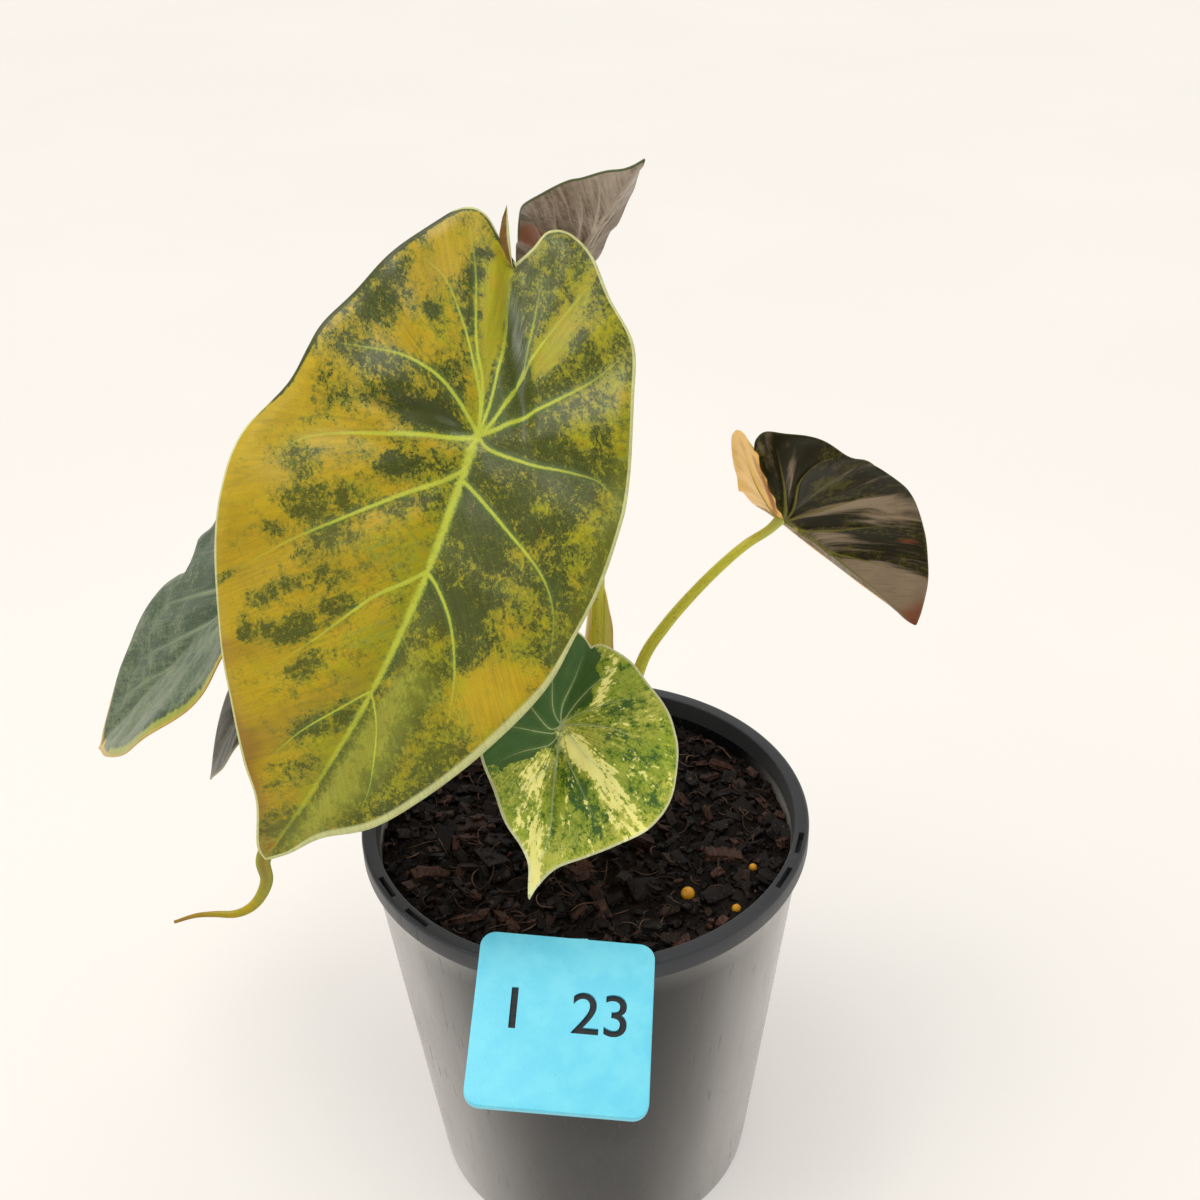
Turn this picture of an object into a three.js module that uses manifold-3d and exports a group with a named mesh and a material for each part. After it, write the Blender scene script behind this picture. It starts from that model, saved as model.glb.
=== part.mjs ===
// Young variegated alocasia in a round nursery pot, with a clip-on number tag.
// Millimetres, +Z up. The origin is the centre of the pot's base, on the surface it stands on.
// The front of the plant, where its largest leaf faces, is -Y.

import * as THREE from "three";
import { mergeVertices } from "three/addons/utils/BufferGeometryUtils.js";
import Module from "manifold-3d";

const wasm = await Module();
wasm.setup();

// Pot
const POT_HEIGHT = 130;
const RIM_RADIUS = 65;
const RIM_HEIGHT = 5.9;
const RIM_EDGE = 1;
const WALL_TOP_RADIUS = 63.1;
const FOOT_RADIUS = 50;
const MOUTH_RADIUS = 60.8;
const INNER_FOOT_RADIUS = 48.3;
const FLOOR_THICKNESS = 2.4;
const BASE_BOSS_RADIUS = 16;
const BASE_RECESS = 1.2;
const FOOT_RING_WIDTH = 5;
const DRAIN_HOLES = 8;
const DRAIN_HOLE_RADIUS = 3.5;
const DRAIN_CIRCLE_RADIUS = 34;
const SLOT_DEPTH = 3.2;
const SLOT_WIDTH = 1.5;
const SLOT_LENGTH = 9;
const SLOT_CIRCLE_RADIUS = 62.9;
const SLOT_SPREAD = 7;
const HANGER_ANGLES = [-23, 97, 217];
const POT_SEGMENTS = 60;

// Potting mix
const GAP = 0.3;
const SOIL_LEVEL = 120.5;
const SOIL_SWELL = 1.3;
const MIX_SEGMENTS = 40;
const MIX_FLOOR_CHAMFER = 2;
const CRUMB_HEIGHT = 0.7;
const CHIP_COUNT = 80;
const CHIP_LENGTH = 4.5;
const CHIP_EXTRA_LENGTH = 7.5;
const CHIP_THICKNESS = 1.3;
const CHIP_TILT = 0.9;
const CHIP_FIELD_RADIUS = 57.5;
const CHIP_TOP_LIMIT = 1.5;
const CROWN_CLEARANCE = 13;
const PRILL_CLEARANCE = 3.8;
const PRILL_LIFT = 0.35;
const CLIP_SPOT = [-4, -60];
const CLIP_CLEARANCE = 10;

// Crown, the short stem that all the leaf stalks stand in
const CROWN_RADIUS = 10;
const CROWN_BOTTOM = 106;
const CROWN_SHOULDER = 121.5;
const CROWN_TOP = 124.5;
const SOCKET_BOTTOM = 112;

// Leaves
const BLADE_THICKNESS = 0.8;
const STALK_SIDES = 8;
const STALK_STEPS = 18;
const STALK_SEAT_LENGTH = 6;
const STALK_FIRST_STOP = 4;
const SHEATH_THICKNESS = 0.8;
const SHEATH_SPAN = 115;
const SHEATH_ROOT = 0.55;

// Drawn-out tip of the largest blade: points along it, and its radius at both ends
const TAIL = [
  [-76.5, -58, 169.5], [-78.5, -60.2, 165.5], [-78, -61.7, 160.8], [-80, -63, 156.3], [-82.7, -64, 153.7],
  [-86.5, -64.5, 152.3], [-91.7, -64.5, 152.4], [-96.4, -64, 151.6], [-102.4, -63, 148.7],
];
const TAIL_RADII = [1.5, 0.5];

// Narrow pointed flap that stands in the notch of the largest blade
const FLAP_FOOT = [-13.9, 1.9, 291.6];
const FLAP_TOP = [-13.7, 4.7, 307.4];
const FLAP_OUTLINE = [[1, 0], [-1.2, 0], [-1.6, 4], [-2, 8.8], [-1.2, 13], [0, 16]];

// Number tag
const TAG_SIZE = 44.7;
const TAG_THICKNESS = 2.4;
const TAG_CORNER = 4;
const TAG_CENTRE = [-6, -80.2, 128.6];
const TAG_FACE_ELEVATION = 68;
const TAG_FACE_TURN = 13.6;
const TAG_SPIN = -17.2;
const CLIP_WIDTH = 10;
const CLIP_LEG = 1.3;
const CLIP_ANGLE = -94;
const CLIP_BOTTOM_INSIDE = 124;
const CLIP_BOTTOM_OUTSIDE = 121;

// Outlines of a half blade, from the notch between the back lobes, round the lobe and to the tip.
// Each point is [distance along the midrib, distance out from it], as shares of the length from
// the stalk to the tip.
const COMMON_HALF = [
  [-0.34, 0], [-0.4, 0.055], [-0.425, 0.11], [-0.38, 0.19], [-0.29, 0.27], [-0.15, 0.335], [0, 0.37],
  [0.13, 0.388], [0.26, 0.392], [0.39, 0.372], [0.52, 0.325], [0.66, 0.25], [0.79, 0.165], [0.9, 0.075], [1, 0],
];
const LARGE_RIGHT = [
  [-0.34, 0], [-0.385, 0.03], [-0.43, 0.055], [-0.445, 0.1], [-0.423, 0.157], [-0.363, 0.213],
  [-0.304, 0.281], [-0.208, 0.306], [-0.063, 0.33], [0.093, 0.337], [0.253, 0.323], [0.375, 0.311],
  [0.539, 0.2585], [0.696, 0.196], [0.804, 0.141], [0.883, 0.067], [0.954, 0.031], [1, 0],
];
const LARGE_LEFT = [
  [-0.34, 0], [-0.368, 0.043], [-0.397, 0.082], [-0.395, 0.122], [-0.356, 0.169], [-0.246, 0.251],
  [-0.059, 0.362], [0.084, 0.406], [0.219, 0.465], [0.342, 0.457], [0.472, 0.411], [0.611, 0.326],
  [0.71, 0.244], [0.813, 0.156], [0.881, 0.089], [0.976, 0.032], [1, 0],
];
const FRONT_RIGHT = [
  [-0.507, 0], [-0.535, 0.035], [-0.52, 0.1], [-0.47, 0.21], [-0.405, 0.31], [-0.219, 0.52], [-0.08, 0.63],
  [0.049, 0.69], [0.303, 0.697], [0.495, 0.607], [0.624, 0.439], [0.725, 0.275], [0.811, 0.125],
  [0.924, 0.035], [1, 0],
];
const FRONT_LEFT = [
  [-0.507, 0], [-0.55, 0.07], [-0.556, 0.18], [-0.461, 0.3], [-0.3, 0.41], [-0.1, 0.48], [0.1, 0.49],
  [0.299, 0.435], [0.471, 0.318], [0.623, 0.219], [0.727, 0.099], [0.816, 0.03], [0.93, 0.01], [1, 0],
];
const RIGHT_NEAR = [
  [-0.5, 0], [-0.545, 0.03], [-0.565, 0.08], [-0.55, 0.12], [-0.49, 0.165], [-0.35, 0.2], [-0.15, 0.235],
  [0.02, 0.27], [0.17, 0.3], [0.32, 0.335], [0.45, 0.35], [0.56, 0.32], [0.66, 0.25], [0.81, 0.17],
  [0.93, 0.05], [1, 0],
];
const RIGHT_FAR = [
  [-0.5, 0], [-0.545, 0.02], [-0.555, 0.06], [-0.51, 0.125], [-0.43, 0.22], [-0.31, 0.3], [-0.09, 0.41],
  [0.117, 0.466], [0.329, 0.442], [0.539, 0.368], [0.7, 0.275], [0.819, 0.189], [0.937, 0.074], [1, 0],
];
const UPRIGHT_FAR = [
  [-0.34, 0], [-0.4, 0.055], [-0.425, 0.11], [-0.38, 0.19], [-0.27, 0.27], [-0.1, 0.31], [0, 0.315],
  [0.135, 0.341], [0.284, 0.363], [0.384, 0.348], [0.488, 0.305], [0.639, 0.231], [0.705, 0.183],
  [0.815, 0.116], [0.898, 0.051], [1, 0],
];
const LEFT_UPPER = [
  [-0.34, 0], [-0.4, 0.055], [-0.425, 0.11], [-0.38, 0.19], [-0.27, 0.28], [-0.1, 0.345], [0.1, 0.375],
  [0.3, 0.375], [0.4, 0.35], [0.47, 0.365], [0.5, 0.27], [0.56, 0.292], [0.646, 0.317], [0.729, 0.288],
  [0.805, 0.226], [0.875, 0.16], [0.94, 0.075], [1, 0],
];

// The leaves. at is where the stalk meets the blade. heading, fall and roll turn the blade: the way
// the tip points seen from above, how far the midrib drops, and the turn about the midrib. bow and
// lean bend the midrib sideways before and behind the stalk. Port is the half to the left of
// someone who looks along the midrib from the stalk, starboard the other. fold lifts a half, cup
// bends it back down towards its margin. stalk lists the points that the stalk passes, and seat is
// how far its end turns towards the blade's normal.
const LEAVES = [
  {
    name: "large",
    at: [-21.8, -22, 261.1],
    heading: -136.2, fall: 45.3, roll: -30, length: 117.6, droop: 22, lobeDroop: 10, bow: 0.058, lean: 0.32,
    port: { outline: LARGE_RIGHT, width: 1, fold: 6, cup: 22 },
    starboard: { outline: LARGE_LEFT, width: 1, fold: 10, cup: 30 },
    wave: { height: 1.2, count: 9, phase: 40 },
    rings: 9, spokes: 17,
    foot: [-5.2, -3.8],
    stalk: [[-7.5, -3.5, 150], [-13, -0.5, 190], [-18, -4.5, 225]],
    seat: 1,
    radius: [2.7, 1.7],
    sheath: { from: 0.16, to: 0.42, reach: 3.6, facing: [0.9, 0.3, 0] },
    colour: 0xa99a24,
  },
  {
    name: "front",
    at: [-5.3, -22, 176.5],
    heading: -102.4, fall: 33, roll: -14, length: 46.25, droop: 8, lobeDroop: 4, bow: -0.015, lean: -0.185,
    port: { outline: FRONT_RIGHT, width: 1, fold: 12, cup: 28 },
    starboard: { outline: FRONT_LEFT, width: 1, fold: 30, cup: 30 },
    wave: { height: 0.8, count: 7, phase: 0 },
    rings: 7, spokes: 14,
    foot: [1.2, -6.3],
    stalk: [[0.8, -6.8, 138], [-1.5, -9.5, 156]],
    seat: 1,
    radius: [2, 1.2],
    colour: 0x8fae35,
  },
  {
    name: "right",
    at: [56.7, 19.7, 214.8],
    heading: 36.6, fall: 32.1, roll: -35.5, length: 68.6, droop: 34.6, lobeDroop: -42.2, bow: 0.058, lean: 0.47,
    port: { outline: RIGHT_NEAR, width: 1, fold: 38.1, cup: 14.7 },
    starboard: { outline: RIGHT_FAR, width: 1, fold: 12.9, cup: 4.4 },
    wave: { height: 0.7, count: 8, phase: 90 },
    rings: 7, spokes: 14,
    foot: [6.3, 0.6],
    stalk: [
      [8, 2, 138], [11.5, 4.5, 154], [17.7, 6.5, 178], [23.9, 8, 187.8], [30.8, 9.3, 196.2],
      [38.4, 10.6, 204.2], [45.7, 12.2, 210.3],
    ],
    seat: 0.15,
    radius: [2.4, 1.25],
    sheath: { from: 0.17, to: 0.46, reach: 3.2, facing: [-0.8, 0.2, 0.5] },
    colour: 0x4d4430,
  },
  {
    name: "upright",
    at: [-0.3, 22, 283.8],
    heading: -59.9, fall: -40.5, roll: -25.2, length: 47.6, droop: -17.7, lobeDroop: 14.8, bow: -0.04, lean: -0.21,
    port: { outline: COMMON_HALF, width: 1, fold: 57, cup: 20.8 },
    starboard: { outline: UPRIGHT_FAR, width: 1, fold: 27.8, cup: 17.2 },
    wave: { height: 0.8, count: 8, phase: 20 },
    rings: 7, spokes: 14,
    foot: [0.4, 0.2],
    stalk: [[1.8, 4, 145], [3.6, 10, 165], [5, 14.5, 188], [5, 19, 215], [2, 24, 245]],
    seat: 1,
    radius: [2.7, 1.5],
    sheath: { from: 0.15, to: 0.5, reach: 4.4, facing: [0.25, -1, 0] },
    colour: 0x6b5a4c,
  },
  {
    name: "left",
    at: [-75.2, 17.2, 216.7],
    heading: 169, fall: 46.3, roll: -17, length: 115, droop: 3.3, lobeDroop: 15, bow: 0.016, lean: 0,
    port: { outline: COMMON_HALF, width: 1.145, fold: 15.9, cup: 22.9 },
    starboard: { outline: LEFT_UPPER, width: 1, fold: 16.3, cup: 41.3 },
    wave: { height: 1.6, count: 9, phase: 0 },
    rings: 8, spokes: 16,
    foot: [-3.4, 5.6],
    stalk: [[-6, 7.5, 140], [-15, 10.5, 162], [-34, 14.5, 190], [-56, 17, 208]],
    seat: 1,
    radius: [2.5, 1.5],
    colour: 0x3f4a39,
  },
  {
    name: "low",
    at: [-82.7, -2, 186.8],
    heading: 172.3, fall: 53, roll: -18.3, length: 52.8, droop: 14.7, lobeDroop: 15, bow: 0.005, lean: 0,
    port: { outline: COMMON_HALF, width: 1, fold: 12, cup: 24.4 },
    starboard: { outline: COMMON_HALF, width: 1, fold: 8.4, cup: 27 },
    wave: { height: 0.8, count: 7, phase: 60 },
    rings: 6, spokes: 12,
    foot: [-6.8, 1.4],
    stalk: [[-10, 2, 136], [-22, 3, 151], [-44, 1.5, 170], [-66, -1, 181]],
    seat: 1,
    radius: [2, 1.2],
    colour: 0x5b5748,
  },
];

// Fertiliser prills lying in the mix: x, y and radius
const PRILLS = [
  [28.4, -28.3, 2],
  [47.6, -17.5, 1.2],
  [41.4, -33.9, 1.3],
];

const radians = THREE.MathUtils.degToRad;
const part = new THREE.Group();

function add(name, geometry, colour, roughness) {
  const material = new THREE.MeshStandardMaterial({ color: colour, roughness, metalness: 0 });
  const mesh = new THREE.Mesh(geometry, material);
  mesh.name = name;
  part.add(mesh);
  return mesh;
}

function closedGeometry(positions, indices) {
  const geometry = new THREE.BufferGeometry();
  geometry.setAttribute("position", new THREE.Float32BufferAttribute(positions, 3));
  geometry.setIndex(indices);
  return geometry;
}

function solid(geometry) {
  const bare = geometry.clone();
  bare.deleteAttribute("normal");
  bare.deleteAttribute("uv");
  const merged = mergeVertices(bare, 1e-4);
  return new wasm.Manifold(new wasm.Mesh({
    numProp: 3,
    vertProperties: new Float32Array(merged.attributes.position.array),
    triVerts: new Uint32Array(merged.index.array),
  }));
}

function geometryOf(manifold) {
  const mesh = manifold.getMesh();
  return closedGeometry(Array.from(mesh.vertProperties), Array.from(mesh.triVerts));
}

function seededRandom(seed) {
  let state = seed;
  return () => {
    state = (state * 1664525 + 1013904223) % 4294967296;
    return state / 4294967296;
  };
}

function turned(points, segments) {
  const lathe = new THREE.LatheGeometry(points.map(([r, z]) => new THREE.Vector2(r, z)), segments);
  return lathe.rotateX(Math.PI / 2);
}

function postAt(x, y, radius, bottom, top, sides) {
  const post = new THREE.CylinderGeometry(radius, radius, top - bottom, sides);
  return post.rotateX(Math.PI / 2).translate(x, y, (bottom + top) / 2);
}

// Pot: a tapered wall with a rolled rim, a foot ring, a flat boss under the floor and drain holes.
function wallRadius(z) {
  return THREE.MathUtils.lerp(FOOT_RADIUS, WALL_TOP_RADIUS, z / (POT_HEIGHT - RIM_HEIGHT));
}

function innerRadius(z) {
  return THREE.MathUtils.lerp(INNER_FOOT_RADIUS, MOUTH_RADIUS, z / POT_HEIGHT);
}

function potBody() {
  const skirt = POT_HEIGHT - RIM_HEIGHT;
  return turned([
    [0, 0], [BASE_BOSS_RADIUS, 0], [BASE_BOSS_RADIUS + BASE_RECESS, BASE_RECESS],
    [FOOT_RADIUS - FOOT_RING_WIDTH - BASE_RECESS, BASE_RECESS], [FOOT_RADIUS - FOOT_RING_WIDTH, 0],
    [FOOT_RADIUS - 0.8, 0], [FOOT_RADIUS, 0.8], [wallRadius(skirt), skirt], [RIM_RADIUS - 0.4, skirt],
    [RIM_RADIUS, skirt + 0.5], [RIM_RADIUS, POT_HEIGHT - RIM_EDGE], [RIM_RADIUS - RIM_EDGE, POT_HEIGHT],
    [MOUTH_RADIUS + 0.6, POT_HEIGHT], [MOUTH_RADIUS, POT_HEIGHT - 0.6],
    [innerRadius(FLOOR_THICKNESS + 2), FLOOR_THICKNESS + 2],
    [innerRadius(FLOOR_THICKNESS) - 2, FLOOR_THICKNESS], [0, FLOOR_THICKNESS],
  ], POT_SEGMENTS);
}

function hangerSlot(angle) {
  const centre = radians(angle);
  const slot = new THREE.BoxGeometry(SLOT_WIDTH, SLOT_LENGTH, SLOT_DEPTH * 2);
  slot.translate(SLOT_CIRCLE_RADIUS, 0, POT_HEIGHT);
  return slot.rotateZ(centre);
}

function potGeometry() {
  let pot = solid(potBody());
  for (let i = 0; i < DRAIN_HOLES; i += 1) {
    const turn = (i / DRAIN_HOLES) * Math.PI * 2 + Math.PI / DRAIN_HOLES;
    const x = DRAIN_CIRCLE_RADIUS * Math.cos(turn);
    const y = DRAIN_CIRCLE_RADIUS * Math.sin(turn);
    pot = pot.subtract(solid(postAt(x, y, DRAIN_HOLE_RADIUS, -5, FLOOR_THICKNESS + 5, 12)));
  }
  for (const angle of HANGER_ANGLES) {
    pot = pot.subtract(solid(hangerSlot(angle + SLOT_SPREAD)));
    pot = pot.subtract(solid(hangerSlot(angle - SLOT_SPREAD)));
  }
  return geometryOf(pot);
}

// Potting mix: a body that fills the pot, with bark chips half sunk in its top.
function mixBody() {
  const bottom = FLOOR_THICKNESS + GAP;
  const rings = 9;
  const top = [];
  for (let i = rings; i >= 1; i -= 1) {
    const reach = (innerRadius(SOIL_LEVEL) - GAP) * (i / rings);
    top.push([reach, ground(reach)]);
  }
  const body = turned([
    [0, bottom], [innerRadius(bottom) - GAP - MIX_FLOOR_CHAMFER, bottom],
    [innerRadius(bottom + MIX_FLOOR_CHAMFER) - GAP, bottom + MIX_FLOOR_CHAMFER],
    ...top, [0, SOIL_LEVEL + SOIL_SWELL],
  ], MIX_SEGMENTS);
  const place = body.attributes.position;
  for (let i = 0; i < place.count; i += 1) {
    if (place.getZ(i) > SOIL_LEVEL) place.setZ(i, place.getZ(i) + crumbs(place.getX(i), place.getY(i)));
  }
  return body;
}

// Height of the mix at a distance from the pot's axis.
function ground(reach) {
  const share = reach / innerRadius(SOIL_LEVEL);
  return SOIL_LEVEL + SOIL_SWELL * (1 - share * share);
}

// Unevenness of the mix between the chips.
function crumbs(x, y) {
  return CRUMB_HEIGHT * (Math.sin(0.61 * x + 1.3) * Math.cos(0.53 * y) + 0.6 * Math.sin(0.37 * x - 0.71 * y));
}

function mouthSpace() {
  const low = SOIL_LEVEL - CHIP_EXTRA_LENGTH - CHIP_LENGTH;
  const high = POT_HEIGHT - CHIP_TOP_LIMIT;
  return turned([
    [0, low], [innerRadius(low) - GAP, low], [innerRadius(high) - GAP - 0.1, high], [0, high],
  ], MIX_SEGMENTS);
}

function barkChip(random) {
  const long = CHIP_LENGTH + CHIP_EXTRA_LENGTH * random() ** 2;
  const wide = long * (0.4 + 0.35 * random());
  const thick = CHIP_THICKNESS * (1 + random());
  const chip = new THREE.BoxGeometry(long, wide, thick);
  chip.deleteAttribute("normal");
  chip.deleteAttribute("uv");
  const merged = mergeVertices(chip);
  const corners = merged.attributes.position;
  for (let i = 0; i < corners.count; i += 1) {
    corners.setX(i, corners.getX(i) * (0.7 + 0.5 * random()));
    corners.setY(i, corners.getY(i) * (0.7 + 0.5 * random()));
    corners.setZ(i, corners.getZ(i) * (0.8 + 0.4 * random()));
  }
  merged.rotateX((random() - 0.5) * CHIP_TILT).rotateY((random() - 0.5) * CHIP_TILT);
  merged.rotateZ(random() * Math.PI * 2);
  return merged;
}

function chipPlace(random) {
  for (;;) {
    const reach = CHIP_FIELD_RADIUS * Math.sqrt(random());
    const turn = random() * Math.PI * 2;
    const x = reach * Math.cos(turn);
    const y = reach * Math.sin(turn);
    const nearPrill = PRILLS.some(([px, py, radius]) => Math.hypot(x - px, y - py) < radius + PRILL_CLEARANCE);
    const nearClip = Math.hypot(x - CLIP_SPOT[0], y - CLIP_SPOT[1]) < CLIP_CLEARANCE;
    if (reach > CROWN_CLEARANCE && !nearPrill && !nearClip) return [x, y, reach];
  }
}

function mixGeometry() {
  const random = seededRandom(11);
  let mix = solid(mixBody());
  for (let i = 0; i < CHIP_COUNT; i += 1) {
    const chip = barkChip(random);
    const [x, y, reach] = chipPlace(random);
    chip.translate(x, y, ground(reach) + 0.1 + 0.5 * random());
    mix = mix.add(solid(chip).intersect(solid(mouthSpace())));
  }
  mix = mix.subtract(solid(postAt(0, 0, CROWN_RADIUS + GAP, CROWN_BOTTOM - GAP, POT_HEIGHT, 32)));
  for (const prill of PRILLS) {
    mix = mix.subtract(solid(prillBall(prill, GAP)));
  }
  return geometryOf(mix);
}

function prillBall([x, y, radius], extra) {
  const height = ground(Math.hypot(x, y)) + radius * PRILL_LIFT;
  return new THREE.IcosahedronGeometry(radius + extra, 1).translate(x, y, height);
}

// Crown: a short rounded stem with a plain socket for each stalk.
function crownGeometry() {
  let crown = solid(turned([
    [0, CROWN_BOTTOM], [CROWN_RADIUS - 2, CROWN_BOTTOM], [CROWN_RADIUS, CROWN_BOTTOM + 2],
    [CROWN_RADIUS, CROWN_SHOULDER], [CROWN_RADIUS * 0.85, CROWN_SHOULDER + 1.7],
    [CROWN_RADIUS * 0.5, CROWN_TOP - 0.3], [0, CROWN_TOP],
  ], 24));
  for (const leaf of LEAVES) {
    const [x, y] = leaf.foot;
    crown = crown.subtract(solid(postAt(x, y, leaf.radius[0] + GAP, SOCKET_BOTTOM, POT_HEIGHT, 12)));
  }
  return geometryOf(crown);
}

// Blade of a leaf: its own axes are m along the midrib, a across it to port and n out of its face.
function bladeAxes(leaf) {
  const heading = radians(leaf.heading);
  const fall = radians(leaf.fall);
  const roll = radians(leaf.roll);
  const m = new THREE.Vector3(
    Math.cos(heading) * Math.cos(fall), Math.sin(heading) * Math.cos(fall), -Math.sin(fall),
  );
  const level = new THREE.Vector3(-Math.sin(heading), Math.cos(heading), 0);
  const up = m.clone().cross(level);
  const a = level.clone().multiplyScalar(Math.cos(roll)).addScaledVector(up, Math.sin(roll));
  const n = up.multiplyScalar(Math.cos(roll)).addScaledVector(level, -Math.sin(roll));
  return { m, a, n };
}

// Length along and rise of an arc that leaves at angle start and turns by turn per millimetre.
function arc(distance, start, turn) {
  if (Math.abs(turn) < 1e-9) return [distance * Math.cos(start), distance * Math.sin(start)];
  const end = start - turn * distance;
  return [(Math.sin(start) - Math.sin(end)) / turn, (Math.cos(end) - Math.cos(start)) / turn];
}

function midribOffset(leaf, x) {
  return x > 0 ? 4 * leaf.bow * x * (1 - x) : leaf.lean * x;
}

// Point of the blade x along and y out from the midrib, as shares of its length. side is 1 to port
// and -1 to starboard, and edge is 0 at the stalk and 1 at the margin.
function bladePoint(leaf, axes, x, y, side, edge) {
  const half = side > 0 ? leaf.port : leaf.starboard;
  const along = x * leaf.length;
  const bend = radians(x > 0 ? leaf.droop : leaf.lobeDroop) / leaf.length;
  const [reach, rise] = arc(along, 0, bend);
  const [out, lift] = arc(y * leaf.length, radians(half.fold), radians(half.cup) / leaf.length);
  const angle = Math.atan2(y, x);
  const { height, count, phase } = leaf.wave;
  const ripple = height * edge ** 2 * Math.sin(angle) * Math.sin(count * angle + radians(phase) + side);
  const turn = bend * along;
  const normal = axes.n.clone().multiplyScalar(Math.cos(turn)).addScaledVector(axes.m, Math.sin(turn));
  return new THREE.Vector3(...leaf.at)
    .addScaledVector(axes.m, reach)
    .addScaledVector(axes.n, rise)
    .addScaledVector(axes.a, side * out + midribOffset(leaf, x) * leaf.length)
    .addScaledVector(normal, lift + ripple);
}

// The margin once round: notch to tip along port, then tip to notch along starboard.
function margin(leaf) {
  const points = [];
  for (const [half, side] of [[leaf.port, 1], [leaf.starboard, -1]]) {
    const curve = new THREE.SplineCurve(half.outline.map(([x, y]) => new THREE.Vector2(x, y * half.width)));
    const run = curve.getPoints(leaf.spokes);
    if (side < 0) run.reverse();
    run.pop();
    run.forEach((point) => points.push([point.x, Math.max(point.y, 0), side]));
  }
  return points;
}

function bladeGeometry(leaf) {
  const axes = bladeAxes(leaf);
  const rim = margin(leaf);
  const positions = [...leaf.at];
  for (let ring = 1; ring <= leaf.rings; ring += 1) {
    const edge = ring / leaf.rings;
    for (const [x, y, side] of rim) {
      positions.push(...bladePoint(leaf, axes, x * edge, y * edge, side, edge).toArray());
    }
  }
  const spokes = rim.length;
  const faces = [];
  for (let i = 0; i < spokes; i += 1) {
    const j = (i + 1) % spokes;
    faces.push([0, 1 + j, 1 + i]);
    for (let ring = 0; ring < leaf.rings - 1; ring += 1) {
      const inner = 1 + ring * spokes;
      const outer = inner + spokes;
      faces.push([inner + i, inner + j, outer + i], [inner + j, outer + j, outer + i]);
    }
  }
  return thickened(positions, faces, spokes, leaf.rings);
}

// Two copies of a surface, half the thickness to each side along its normals, joined round the margin.
function thickened(positions, faces, spokes, rings) {
  const sheet = closedGeometry(positions, faces.flat());
  sheet.computeVertexNormals();
  const normals = sheet.attributes.normal;
  const place = sheet.attributes.position;
  const count = place.count;
  const both = [];
  for (const side of [0.5, -0.5]) {
    for (let i = 0; i < count; i += 1) {
      both.push(
        place.getX(i) + normals.getX(i) * side * BLADE_THICKNESS,
        place.getY(i) + normals.getY(i) * side * BLADE_THICKNESS,
        place.getZ(i) + normals.getZ(i) * side * BLADE_THICKNESS,
      );
    }
  }
  const indices = faces.flat();
  faces.forEach(([a, b, c]) => indices.push(count + a, count + c, count + b));
  const first = 1 + (rings - 1) * spokes;
  for (let i = 0; i < spokes; i += 1) {
    const a = first + i;
    const b = first + ((i + 1) % spokes);
    indices.push(a, b, count + a, b, count + b, count + a);
  }
  return closedGeometry(both, indices);
}

function faceNormal(leaf) {
  const axes = bladeAxes(leaf);
  const port = radians(leaf.port.fold);
  const starboard = radians(leaf.starboard.fold);
  const lean = (port - starboard) / 2;
  return axes.n.clone().multiplyScalar(Math.cos(lean)).addScaledVector(axes.a, -Math.sin(lean));
}

// Tube with a round section that tapers along a curve, closed at both ends.
function taperedTube(curve, radiusAt, sides, steps) {
  const frames = curve.computeFrenetFrames(steps, false);
  const positions = [];
  for (let i = 0; i <= steps; i += 1) {
    const centre = curve.getPointAt(i / steps);
    const radius = radiusAt(i / steps);
    for (let k = 0; k < sides; k += 1) {
      const turn = (k / sides) * Math.PI * 2;
      const point = centre.clone()
        .addScaledVector(frames.normals[i], Math.cos(turn) * radius)
        .addScaledVector(frames.binormals[i], Math.sin(turn) * radius);
      positions.push(...point.toArray());
    }
  }
  positions.push(...curve.getPointAt(0).toArray(), ...curve.getPointAt(1).toArray());
  const start = (steps + 1) * sides;
  const indices = [];
  for (let k = 0; k < sides; k += 1) {
    const next = (k + 1) % sides;
    for (let i = 0; i < steps; i += 1) {
      const low = i * sides;
      const high = low + sides;
      indices.push(low + k, low + next, high + k, low + next, high + next, high + k);
    }
    indices.push(start, next, k, start + 1, steps * sides + k, steps * sides + next);
  }
  return closedGeometry(positions, indices);
}

// The stalk turns towards the blade's underside only over its last few millimetres. stop is how far
// before the blade it ends.
function stalkCurve(leaf, stop) {
  const [x, y] = leaf.foot;
  const meet = new THREE.Vector3(...leaf.at);
  const normal = faceNormal(leaf);
  const passed = leaf.stalk.map((point) => new THREE.Vector3(...point));
  const approach = meet.clone().sub(passed[passed.length - 1]).normalize();
  const arrival = approach.clone().addScaledVector(normal, leaf.seat).normalize();
  const points = [
    new THREE.Vector3(x, y, SOCKET_BOTTOM + GAP),
    new THREE.Vector3(x, y, CROWN_TOP + 1),
    ...passed,
    meet.clone().addScaledVector(arrival, -STALK_SEAT_LENGTH),
    meet.clone().addScaledVector(arrival, -stop),
  ];
  return new THREE.CatmullRomCurve3(points, false, "centripetal");
}

function stalkTube(leaf, curve) {
  const [low, high] = leaf.radius;
  return taperedTube(curve, (t) => THREE.MathUtils.lerp(low, high, t), STALK_SIDES, STALK_STEPS);
}

// Moves the stalk's end up to the blade until only the gap is left between the two.
function seatedCurve(leaf) {
  const blade = solid(bladeGeometry(leaf));
  let stop = STALK_FIRST_STOP;
  for (let i = 0; i < 10; i += 1) {
    const stalk = solid(stalkTube(leaf, stalkCurve(leaf, stop)));
    stop -= blade.minGap(stalk, STALK_SEAT_LENGTH) - GAP;
  }
  return stalkCurve(leaf, stop);
}

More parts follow.
